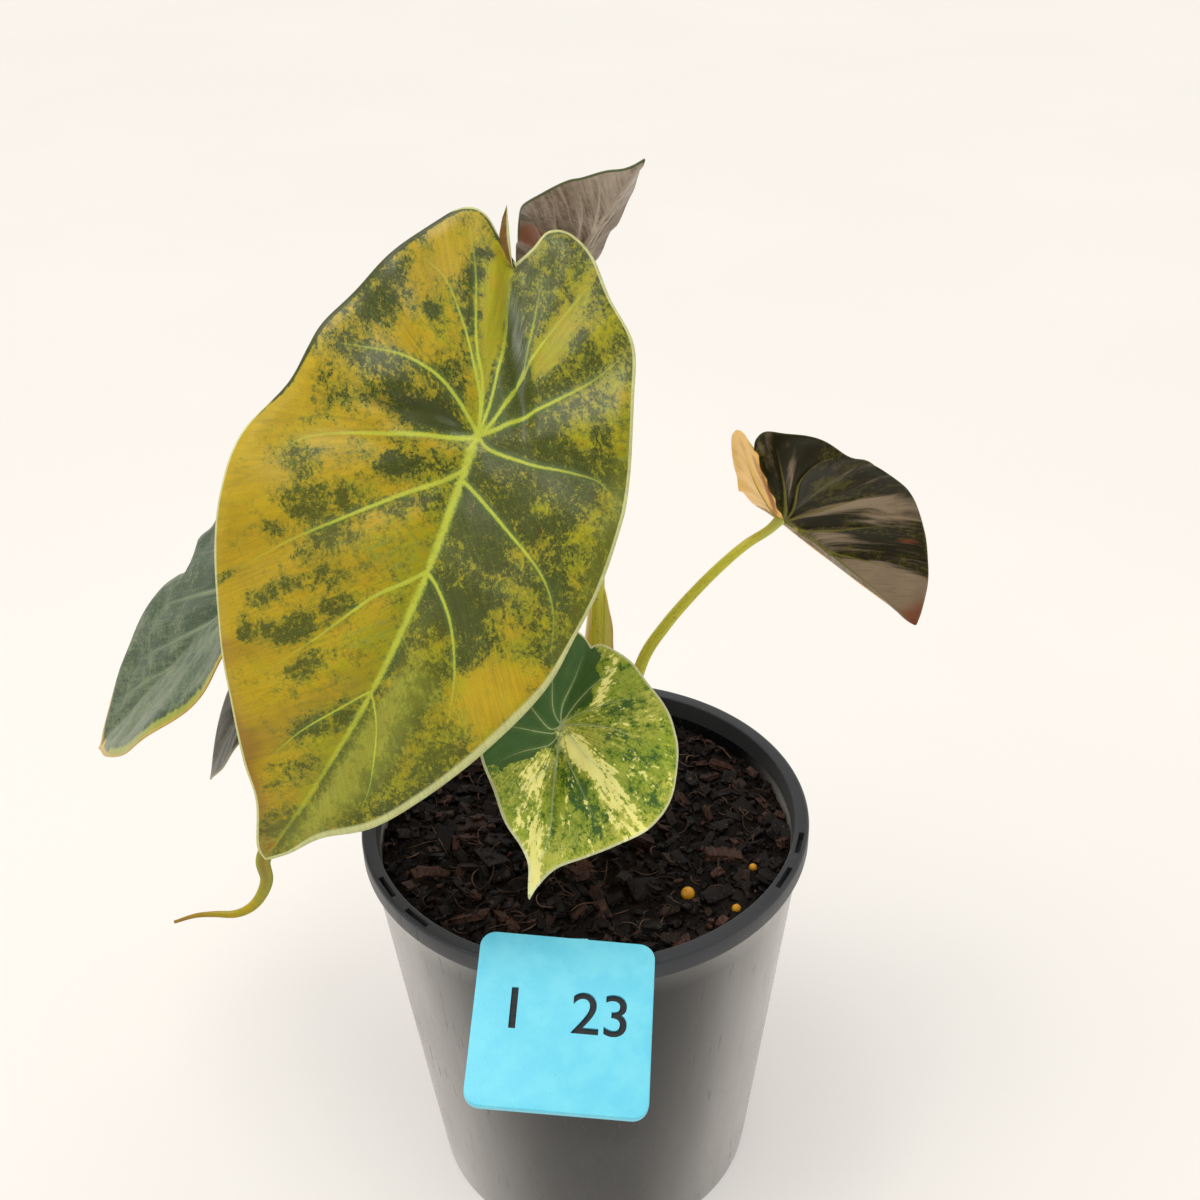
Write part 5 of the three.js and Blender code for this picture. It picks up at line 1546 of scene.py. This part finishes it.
def pot_material():
    material, tree, shader = new_material("pot_black")
    where = place_of(tree)
    wear = group_node(tree, WEAR, {"Vector": where})
    height = node(tree, "ShaderNodeSeparateXYZ", {0: where}).outputs["Z"]
    lip = ramp(tree, height, (POT_HEIGHT - RIM_HEIGHT - 0.3) * MM, (POT_HEIGHT - RIM_HEIGHT + 0.1) * MM)
    cloud = grain(tree, where, 35.0, 3.0, 0.6)
    flow = grain(tree, stretched(tree, where, (60.0, 60.0, 9.0)), 1.0, 3.0, 0.5)
    paint = blend(tree, lip, colour(0.006, 0.006, 0.007), colour(0.042, 0.045, 0.051))
    paint = graded(tree, cloud, 0.45, 0.75, paint, colour(0.035, 0.036, 0.04), 0.35)
    # Painted reflection: a pale colour that grows towards grazing angles stands in for the bright
    # surroundings mirrored along the wall's edges, streaked and weaker on the lip
    facing = node(tree, "ShaderNodeLayerWeight", {"Blend": 0.5}).outputs["Facing"]
    streaks = ramp(tree, flow, 0.3, 0.7, 0.84, 1.08)
    painted_grazing_sheen = times(tree, ramp(tree, facing, 0.4, 0.78, 0.0, 0.78), streaks)
    painted_grazing_sheen = times(tree, painted_grazing_sheen, ramp(tree, lip, 0.0, 1.0, 1.0, 0.15))
    paint = blend(tree, painted_grazing_sheen, paint, colour(0.5, 0.485, 0.46))
    paint = blend(tree, times(tree, wear["Scratches"], 0.6), paint, colour(0.07, 0.07, 0.072))
    dust = times(tree, wear["Dust"], ramp(tree, lip, 0.0, 1.0, 0.2, 0.6))
    paint = blend(tree, dust, paint, colour(0.3, 0.28, 0.25))
    rough = plus(tree, ramp(tree, cloud, 0.3, 0.7, 0.17, 0.27), times(tree, lip, 0.26))
    rough = plus(tree, rough, times(tree, wear["Scratches"], 0.25))
    fine = grain(tree, where, 1500.0, 2.0)
    relief = plus(tree, flow, times(tree, fine, 0.05))
    relief = minus(tree, relief, times(tree, wear["Scratches"], 0.12))
    dress(tree, shader, paint, rough, relief, 0.5, 0.0006)
    fixed(shader, "Specular IOR Level", 0.36)
    return material


# Potting mix
chance = random.random


def chip_numbers(seed):
    """The same run of random numbers as the solid mix is built with."""
    state = seed
    while True:
        state = (state * 1664525 + 1013904223) % 4294967296
        yield state / 4294967296


def ground(x, y):
    share = math.hypot(x, y) / inner_radius(SOIL_LEVEL)
    return SOIL_LEVEL + SOIL_SWELL * (1 - share * share)


def bed_height(x, y):
    """The swelling ground with its small waves."""
    wave = math.sin(0.61 * x + 1.3) * math.cos(0.53 * y) + 0.6 * math.sin(0.37 * x - 0.71 * y)
    return ground(x, y) + CRUMB_HEIGHT * wave


def near_prill(x, y, clear):
    return any(math.hypot(x - px, y - py) < radius + clear for px, py, radius in PRILLS)


def free_ground(x, y, clear):
    near_clip = math.dist((x, y), CLIP_SPOT) < 6.5 + clear
    return math.hypot(x, y) > CROWN_RADIUS + clear and not near_prill(x, y, clear) and not near_clip


def free_spots(count, reach, shortest, span, power, clear):
    """Free places on the mix, each with the length of what lies there."""
    while count:
        far, turn = reach * math.sqrt(chance()), chance() * 2 * math.pi
        x, y = far * math.cos(turn), far * math.sin(turn)
        long = shortest + span * chance() ** power
        if free_ground(x, y, long * 0.5 + clear):
            yield x, y, long
            count -= 1


def solid_chips():
    """Sizes, turns and places of the large chips, drawn as the solid mix draws them with their corners."""
    draw = chip_numbers(CHIP_SEED)
    chips = []
    for _ in range(CHIP_COUNT):
        long = 4.5 + 7.5 * next(draw) ** 2
        wide = long * (0.4 + 0.35 * next(draw))
        thick = 1.3 + 1.3 * next(draw)
        for _ in range(CHIP_CORNER_NUMBERS):
            next(draw)
        turns = ((next(draw) - 0.5) * 0.9, (next(draw) - 0.5) * 0.9, next(draw) * 2 * math.pi)
        while True:
            reach = CHIP_FIELD_RADIUS * math.sqrt(next(draw))
            turn = next(draw) * 2 * math.pi
            x, y = reach * math.cos(turn), reach * math.sin(turn)
            beside_clip = math.dist((x, y), CLIP_SPOT) < 10
            if reach > CROWN_CLEARANCE and not near_prill(x, y, 3.8) and not beside_clip:
                break
        height = ground(x, y) + 0.1 + 0.5 * next(draw)
        chips.append(((long, wide, thick), turns, (x, y, height)))
    return chips


def chip_shape(name, seed):
    """One rough splinter of bark a millimetre long, bevelled, split and roughened."""
    deselect()
    bpy.ops.mesh.primitive_cube_add(size=1.0)
    chip = bpy.context.active_object
    chip.name = name
    edit_all()
    bpy.ops.mesh.subdivide(number_cuts=1)
    bpy.ops.mesh.bevel(offset=0.07, segments=1)
    end_edit()
    for vertex in chip.data.vertices:
        spot = vertex.co * 2.2 + Vector((seed * 7.3, 0, 0))
        vertex.co += 0.17 * noise.noise_vector(spot)
        vertex.co.z += 0.1 * noise.noise(vertex.co * 5 + Vector((0, seed * 3.1, 0)))
    mesh = chip.data
    points = np.array([v.co for v in mesh.vertices])
    faces = [tuple(p.vertices) for p in mesh.polygons]
    bpy.data.objects.remove(chip)
    return points, faces


def scatter(name, shapes, places):
    """Copies of the shapes, each with its size, turns, place and tone, in one mesh."""
    vertices, faces, tones, offset = [], [], [], 0
    for shape, size, turns, spot, tone in places:
        points, polygons = shapes[shape % len(shapes)]
        turn = Matrix.Rotation(turns[2], 3, "Z") @ Matrix.Rotation(turns[1], 3, "Y")
        turn = turn @ Matrix.Rotation(turns[0], 3, "X")
        placed = (points * np.array(size)) @ np.array(turn).T + np.array(spot)
        vertices.append(placed)
        faces += [tuple(k + offset for k in polygon) for polygon in polygons]
        tones += [tone] * len(points)
        offset += len(points)
    piece = mesh_piece(name, np.vstack(vertices), faces)
    vertex_values(piece, "tone", tones)
    return piece


def held_in_pot(piece):
    """Draws back what would reach through the pot's wall."""
    points = np.zeros(len(piece.data.vertices) * 3)
    piece.data.vertices.foreach_get("co", points)
    points = points.reshape(-1, 3)
    reach = np.hypot(points[:, 0], points[:, 1])
    most = (inner_radius(points[:, 2] / MM) - GAP) * MM
    share = np.minimum(1.0, most / np.maximum(reach, 1e-9))
    points[:, :2] *= share[:, None]
    piece.data.vertices.foreach_set("co", points.ravel())
    piece.data.update()


def make_bed():
    low = FLOOR_THICKNESS + GAP
    edge = inner_radius(SOIL_LEVEL) - GAP
    profile = [(1.0, low), (inner_radius(low) - 2.6, low), (inner_radius(low + 2) - GAP, low + 2)]
    profile += [(inner_radius(z) - GAP, z) for z in (40, 80, 110)]
    profile += [(edge * (1 - i / 62), SOIL_LEVEL) for i in range(62)]
    bed = lathe("mix_bed", profile, 260)
    for vertex in bed.data.vertices:
        if vertex.co.z > (SOIL_LEVEL - 0.01) * MM:
            x, y = vertex.co.x / MM, vertex.co.y / MM
            rough = noise.fractal(Vector((x / 2.6, y / 2.6, 0.0)), 0.9, 2.1, 4)
            lump = noise.noise(Vector((x / 9, y / 9, 4.0)))
            hollow = min(1.0, max(0.0, (math.hypot(x, y) - CROWN_RADIUS) / 2))
            vertex.co.z = (bed_height(x, y) + (0.9 * rough + 0.8 * lump) * hollow) * MM
    shade(bed)
    place(bed, bed_material(), "bark_mix", "potting_mix")


def make_mix():
    make_bed()
    # noise_vector follows the clock until the noise has a seed
    noise.seed_set(CHIP_SEED)
    shapes = [chip_shape("chip", seed) for seed in range(7)]
    random.seed(5)
    chips = []
    for i, (size, turns, spot) in enumerate(solid_chips()):
        chips.append((i, [s * 1.02 for s in size], turns, spot, 0.25 + 0.75 * chance()))
    for i, (x, y, long) in enumerate(free_spots(SMALL_CHIP_COUNT, 59.0, 1.6, 4.2, 2.2, 0.3)):
        size = (long, long * (0.35 + 0.4 * chance()), 0.7 + 0.9 * chance())
        turns = [(chance() - 0.5) * 1.2, (chance() - 0.5) * 1.2, chance() * 6.3]
        spot = (x, y, bed_height(x, y) + 0.5 + 0.5 * chance())
        chips.append((i, size, turns, spot, chance() ** 1.6))
    crumbs = []
    for x, y, long in free_spots(CRUMB_COUNT, 59.2, 0.7, 1.0, 1.0, 0.2):
        size = (long, long * (0.5 + 0.4 * chance()), long * 0.6)
        turns = [chance() * 3, chance() * 3, chance() * 6.3]
        spot = (x, y, bed_height(x, y) + 0.5 + 0.5 * chance())
        crumbs.append((0, size, turns, spot, chance() ** 3 * 0.6))
    corners = np.array(((1, 1, 1), (-1, -1, 1), (-1, 1, -1), (1, -1, -1))) * 0.42
    grit = (corners, ((0, 2, 1), (0, 1, 3), (0, 3, 2), (1, 2, 3)))
    chips = scatter("bark_chips", shapes, chips)
    crumbs = scatter("mix_crumbs", [grit], crumbs)
    held_in_pot(chips)
    held_in_pot(crumbs)
    shade(chips, 35)
    place(chips, bark_material(), "bark_mix")
    place(crumbs, bark_material(), "bark_mix")
    place(fibres_piece(), fibre_material(), "bark_mix")


def fibres_piece():
    """Fine roots and bark fibres that lie curled over the mix."""
    random.seed(21)
    steps, sides = 12, 5
    turns = np.linspace(0, 2 * math.pi, sides, endpoint=False)
    vertices, faces, tones, offset = [], [], [], 0
    made = 0
    while made < FIBRE_COUNT:
        reach, turn = 56.0 * math.sqrt(chance()), chance() * 6.28
        x, y = reach * math.cos(turn), reach * math.sin(turn)
        heading, curl = chance() * 6.28, (chance() - 0.5) * 0.5
        long = 4 + 12 * chance() ** 2
        arch = 0.9 * random.Random(made).random()
        line = []
        for i in range(steps + 1):
            line.append((x, y, bed_height(x, y) + 1.0 + arch * math.sin(math.pi * i / steps)))
            x += math.cos(heading) * long / steps
            y += math.sin(heading) * long / steps
            heading += curl
        if not all(free_ground(p[0], p[1], 1.0) and math.hypot(p[0], p[1]) < 58 for p in line):
            continue
        line = np.array(line)
        _, *axes = carried_axes(line)
        thick = 0.1 + 0.12 * chance() ** 2
        rings = []
        for i in range(steps + 1):
            around = thick * (1 - 0.75 * abs(2 * i / steps - 1) ** 3)
            rings.append(ring_at(line, axes, i, np.cos(turns) * around, np.sin(turns) * around))
        points, polygons = swept(rings)
        vertices.append(points)
        faces += [tuple(k + offset for k in polygon) for polygon in polygons]
        tones += [chance()] * len(points)
        offset += len(points)
        made += 1
    piece = mesh_piece("mix_fibres", np.vstack(vertices), faces)
    vertex_values(piece, "tone", tones)
    shade(piece)
    return piece


def bed_material():
    material, tree, shader = new_material("mix_bed")
    where = place_of(tree)
    lumps = grain(tree, where, 420.0, 5.0, 0.7)
    patch = grain(tree, where, 90.0, 3.0)
    paint = graded(tree, lumps, 0.35, 0.7, colour(0.003, 0.002, 0.0015), colour(0.018, 0.01, 0.006))
    paint = graded(tree, patch, 0.55, 0.75, paint, colour(0.03, 0.014, 0.008), 0.5)
    rough = ramp(tree, lumps, 0.3, 0.7, 0.55, 0.9)
    dress(tree, shader, paint, rough, lumps, 0.9, 0.0012)
    fixed(shader, "Specular IOR Level", 0.25)
    return material


def bark_material():
    material, tree, shader = new_material("bark_chip")
    where = place_of(tree)
    tone = value_of(tree, "tone")
    lines = grain(tree, stretched(tree, where, (1400.0, 260.0, 700.0), 33.0), 1.0, 4.0, 0.65)
    flecks = grain(tree, where, 900.0, 3.0, 0.6)
    dark = graded(tree, lines, 0.35, 0.7, colour(0.003, 0.002, 0.0015), colour(0.014, 0.008, 0.006))
    brown = graded(tree, lines, 0.35, 0.7, colour(0.035, 0.015, 0.01), colour(0.14, 0.064, 0.042))
    paint = blend(tree, ramp(tree, tone, 0.5, 1.0), dark, brown)
    paint = graded(tree, flecks, 0.62, 0.72, paint, colour(0.22, 0.13, 0.09), 0.5)
    rough = ramp(tree, lines, 0.3, 0.7, 0.42, 0.75)
    height = plus(tree, lines, times(tree, flecks, 0.4))
    dress(tree, shader, paint, rough, height, 0.7, 0.0005)
    fixed(shader, "Specular IOR Level", 0.25)
    return material


def fibre_material():
    material, tree, shader = new_material("mix_fibre")
    tone = value_of(tree, "tone")
    streaks = grain(tree, place_of(tree), 700.0, 2.0)
    paint = blend(tree, tone, colour(0.05, 0.02, 0.012), colour(0.26, 0.14, 0.08))
    paint = graded(tree, streaks, 0.4, 0.7, paint, colour(0.03, 0.014, 0.008), 0.5)
    rough = ramp(tree, streaks, 0.3, 0.7, 0.6, 0.8)
    dress(tree, shader, paint, rough, streaks, 0.3, 0.0002)
    return material


# Crown
def make_crown():
    low = CROWN_BOTTOM
    profile = [(1.0, low), (8.4, low), (9.6, low + 0.6), (CROWN_RADIUS, low + 2)]
    for level in (112, 115, 117.5, 119.5):
        profile += [(9.8, level - 0.5), (9.5, level), (9.9, level + 0.35)]
    profile += [(9.8, 121.2), (9.2, 122.3), (7.6, 123.4), (5, 124.1), (2.5, 124.4), (0.6, CROWN_TOP)]
    crown = lathe("crown_stem", profile, 96)
    for vertex in crown.data.vertices:
        x, y, z = vertex.co / MM
        if z > low + 1:
            rough = noise.fractal(Vector((x / 2.2, y / 2.2, z / 5)), 0.9, 2.0, 3)
            vertex.co.x *= 1 - 0.02 * abs(rough)
            vertex.co.y *= 1 - 0.02 * abs(rough)
            vertex.co.z -= 0.25 * abs(rough) * MM
    posts = []
    for leaf in LEAVES.values():
        x, y = leaf["foot"]
        posts.append(cutter_post(x, y, leaf["radius"][0] * 1.07 + GAP, SOCKET_BOTTOM, POT_HEIGHT))
    cut(crown, posts)
    shade(crown, 40)
    place(crown, crown_material(), "crown_tissue", "crown")


def crown_material():
    material, tree, shader = new_material("crown_tissue")
    where = place_of(tree)
    rings = grain(tree, stretched(tree, where, (60.0, 60.0, 900.0)), 1.0, 4.0, 0.6)
    patch = grain(tree, where, 260.0, 4.0, 0.6)
    paint = graded(tree, rings, 0.35, 0.7, colour(0.09, 0.05, 0.025), colour(0.26, 0.2, 0.09))
    paint = graded(tree, patch, 0.5, 0.7, paint, colour(0.2, 0.24, 0.06), 0.7)
    rough = ramp(tree, patch, 0.3, 0.7, 0.5, 0.8)
    dress(tree, shader, paint, rough, rings, 0.6, 0.0008)
    return material


# Prills
def make_prills():
    finish = prill_material()
    for i, (x, y, radius) in enumerate(PRILLS):
        deselect()
        centre = (x * MM, y * MM, (ground(x, y) + radius * PRILL_LIFT) * MM)
        bpy.ops.mesh.primitive_ico_sphere_add(subdivisions=4, radius=radius * MM * 0.98, location=centre)
        prill = bpy.context.active_object
        prill.name = f"prill_{i + 1}"
        freeze(prill)
        for vertex in prill.data.vertices:
            away = vertex.co - Vector(centre)
            bump = noise.noise(away * (1.6 / (radius * MM)) + Vector((i * 5.0, 0, 0)))
            vertex.co += away.normalized() * bump * 0.045 * radius * MM
        shade(prill)
        place(prill, finish, "prill_amber", f"fertiliser_prill_{i + 1}")


def prill_material():
    material, tree, shader = new_material("prill_amber")
    where = place_of(tree)
    cloud = grain(tree, where, 700.0, 3.0)
    specks = ramp(tree, cells(tree, where, 1900.0), 0.1, 0.25, 1.0, 0.0)
    paint = graded(tree, cloud, 0.35, 0.7, colour(0.9, 0.36, 0.008), colour(0.85, 0.5, 0.03))
    paint = blend(tree, times(tree, specks, 0.35), paint, colour(0.45, 0.16, 0.01))
    rough = ramp(tree, cloud, 0.3, 0.7, 0.28, 0.45)
    dress(tree, shader, paint, rough, cloud, 0.25, 0.0003)
    fixed(shader, "Subsurface Weight", 0.25)
    fixed(shader, "Subsurface Scale", 0.001)
    return material


# Number tag
def tag_matrix():
    elevation, turn, spin = (math.radians(a) for a in (TAG_FACE_ELEVATION, TAG_FACE_TURN, TAG_SPIN))
    flat = math.cos(elevation)
    face = Vector((flat * math.sin(turn), -flat * math.cos(turn), math.sin(elevation)))
    level = Vector((math.cos(turn), math.sin(turn), 0))
    across = level * math.cos(spin) + face.cross(level) * math.sin(spin)
    up = face.cross(across)
    matrix = Matrix((across, up, face)).transposed().to_4x4()
    matrix.translation = Vector(TAG_CENTRE) * MM
    return matrix, face


def plate_height(x, y):
    face = tag_matrix()[1]
    cx, cy, cz = TAG_CENTRE
    return cz - (face.x * (x - cx) + face.y * (y - cy) + TAG_THICKNESS / 2) / face.z


def tag_plate():
    """A square plate with rounded corners and a fine bevel round both faces."""
    plate = box_of((TAG_SIZE, TAG_SIZE, TAG_THICKNESS))
    plate.name = "number_tag_plate"
    bpy.ops.transform.translate(value=(0, 0, -TAG_THICKNESS / 2 * MM))
    bpy.ops.mesh.select_mode(type="EDGE")
    bpy.ops.mesh.select_all(action="DESELECT")
    end_edit()
    for edge in plate.data.edges:
        ends = [plate.data.vertices[k].co for k in edge.vertices]
        edge.select = abs(ends[0].z - ends[1].z) > MM
    bpy.ops.object.mode_set(mode="EDIT")
    bpy.ops.mesh.bevel(offset=TAG_CORNER * MM, segments=14)
    end_edit()
    sharp = math.radians(50)
    apply_modifier(plate, "BEVEL", width=TAG_BEVEL * MM, segments=3, limit_method="ANGLE", angle_limit=sharp)
    return plate


def figure_shapes(depth, lift):
    """Solid plain figures, a single one and then a pair, that stand through the plate's face."""
    made = []
    for text, x in FIGURES:
        deselect()
        bpy.ops.object.text_add(location=(0, 0, 0))
        figure = bpy.context.active_object
        figure.data.body = text
        figure.data.size = FIGURE_SIZE * MM
        figure.data.align_x = "CENTER"
        figure.data.align_y = "CENTER"
        figure.data.offset = FIGURE_WEIGHT * MM
        figure.data.extrude = depth / 2 * MM
        make_active(figure)
        bpy.ops.object.convert(target="MESH")
        bpy.ops.object.mode_set(mode="EDIT")
        bpy.ops.mesh.select_all(action="SELECT")
        bpy.ops.mesh.remove_doubles(threshold=0.001 * MM)
        end_edit()
        figure.data.transform(Matrix.Translation((x * MM, FIGURE_Y * MM, lift * MM)))
        made.append(figure)
    return join(made, "figures")


def clip_leg(radius, bottom):
    turn = math.radians(CLIP_ANGLE)
    x, y = radius * math.cos(turn), radius * math.sin(turn)
    top = plate_height(x, y)
    leg = box_of((CLIP_LEG, CLIP_WIDTH, top - bottom))
    bpy.ops.mesh.bevel(offset=CLIP_ROUND * MM, segments=4)
    end_edit()
    leg.data.transform(Matrix.Rotation(turn, 4, "Z"))
    leg.data.transform(Matrix.Translation((x * MM, y * MM, (top + bottom) / 2 * MM)))
    return leg


def make_tag():
    matrix, _ = tag_matrix()
    plate = tag_plate()
    cut(plate, [figure_shapes(FIGURE_DEPTH * 2, 0.0)])
    inlay = figure_shapes(INLAY_THICKNESS, INLAY_LIFT - FIGURE_DEPTH)
    inlay.name = "number_tag_figures"
    plate.data.transform(matrix)
    inlay.data.transform(matrix)
    for leg in (
        clip_leg(inner_radius(CLIP_BOTTOM_INSIDE) - 2 * GAP - CLIP_LEG / 2, CLIP_BOTTOM_INSIDE),
        clip_leg(RIM_RADIUS + GAP + CLIP_LEG / 2, CLIP_BOTTOM_OUTSIDE),
    ):
        apply_modifier(plate, "BOOLEAN", object=leg, operation="UNION", solver="EXACT")
        bpy.data.objects.remove(leg)
    shade(plate, 35)
    place(plate, tag_material(), "tag_blue", "number_tag")
    place(inlay, figure_material(), "tag_blue")


def tag_material():
    material, tree, shader = new_material("tag_blue")
    where = place_of(tree)
    matrix, _ = tag_matrix()
    across = dot(tree, where, tuple(matrix.to_3x3().col[0]))
    lines = maths(tree, "SINE", times(tree, across, 2 * math.pi / (TAG_PRINT_LINES * MM)))
    cloud = grain(tree, where, 160.0, 3.0)
    pits = ramp(tree, cells(tree, where, 900.0), 0.06, 0.2, 1.0, 0.0)
    sparse = ramp(tree, grain(tree, where, 240.0, 2.0), 0.52, 0.6)
    paint = graded(tree, cloud, 0.35, 0.7, colour(0.15, 0.72, 0.94), colour(0.2, 0.79, 0.97))
    marks = times(tree, times(tree, pits, sparse), 0.5)
    paint = blend(tree, marks, paint, colour(0.08, 0.48, 0.7))
    height = minus(tree, times(tree, lines, 0.3), times(tree, pits, 0.5))
    rough = ramp(tree, cloud, 0.3, 0.7, 0.36, 0.5)
    dress(tree, shader, paint, rough, height, 0.35, 0.0001)
    return material


def figure_material():
    material, tree, shader = new_material("tag_figures")
    cloud = grain(tree, place_of(tree), 900.0, 3.0)
    paint = graded(tree, cloud, 0.35, 0.7, colour(0.004, 0.005, 0.006), colour(0.014, 0.016, 0.018))
    rough = ramp(tree, cloud, 0.3, 0.7, 0.5, 0.7)
    dress(tree, shader, paint, rough, cloud, 0.4, 0.0002)
    return material


# Camera, light and floor
def make_camera():
    forward = Vector(CAMERA_FORWARD).normalized()
    right = Vector(CAMERA_RIGHT)
    right = (right - forward * right.dot(forward)).normalized()
    up = right.cross(forward)
    matrix = Matrix((right, up, -forward)).transposed().to_4x4()
    matrix.translation = Vector(CAMERA_EYE) * MM
    data = bpy.data.cameras.new("camera")
    data.lens = CAMERA_LENS
    data.sensor_width = CAMERA_SENSOR
    data.sensor_fit = "HORIZONTAL"
    data.clip_start = 0.01
    camera = bpy.data.objects.new("camera", data)
    camera.matrix_world = matrix
    bpy.context.scene.collection.objects.link(camera)
    bpy.context.scene.camera = camera


def lamp(name, kind, power, tint, matrix):
    data = bpy.data.lights.new(name, kind)
    data.energy = power
    data.color = tint
    light = bpy.data.objects.new(name, data)
    light.matrix_world = matrix
    bpy.context.scene.collection.objects.link(light)
    return data


def area_light(name, spot, aim, size, power, tint):
    turn = (Vector(aim) - Vector(spot)).to_track_quat("-Z", "Y").to_matrix().to_4x4()
    data = lamp(name, "AREA", power, tint, Matrix.Translation(spot) @ turn)
    data.shape = "RECTANGLE"
    data.size, data.size_y = size


def sun_light(name, direction, strength, spread, tint):
    turn = Vector(direction).to_track_quat("Z", "Y").to_matrix().to_4x4()
    lamp(name, "SUN", strength, tint, turn).angle = math.radians(spread)


def make_floor():
    deselect()
    bpy.ops.mesh.primitive_plane_add(size=FLOOR_SIZE, location=(0, 0, 0))
    floor = bpy.context.active_object
    floor.name = "floor"
    material, tree, shader = new_material("pale_floor")
    cloud = grain(tree, place_of(tree), 3.0, 3.0)
    paint = graded(tree, cloud, 0.4, 0.65, colour(0.54, 0.515, 0.475), colour(0.56, 0.53, 0.485))
    tree.links.new(paint, shader.inputs["Base Color"])
    fixed(shader, "Roughness", 0.9)
    fixed(shader, "Emission Color", colour(1.0, 0.97, 0.93))
    fixed(shader, "Emission Strength", FLOOR_GLOW)
    floor.data.materials.append(material)


def make_light():
    """An even studio that is greyer behind the camera, a wide soft sun and a small window above."""
    world = bpy.data.worlds.new("studio")
    world.use_nodes = True
    tree = world.node_tree
    backing = tree.nodes["Background"]
    toward = dot(tree, node(tree, "ShaderNodeTexCoord").outputs["Generated"], STUDIO_SHADE)
    tint = graded(tree, toward, 0.35, 0.95, colour(1.0, 0.985, 0.96), colour(0.34, 0.335, 0.33))
    tree.links.new(tint, backing.inputs["Color"])
    backing.inputs["Strength"].default_value = STUDIO_STRENGTH
    bpy.context.scene.world = world
    sun_light("key", (-0.35, -0.25, 1.0), KEY_STRENGTH, KEY_SPREAD, (1.0, 0.97, 0.93))
    window = (-0.25, -0.1, 0.95)
    area_light("window", window, (-0.02, 0, 0.22), (0.25, 0.35), WINDOW_POWER, (1.0, 0.99, 0.97))
    bpy.context.scene.view_settings.view_transform = "Standard"


make_camera()
make_pot()
make_mix()
make_crown()
make_prills()
make_leaves()
make_tag()
make_floor()
make_light()
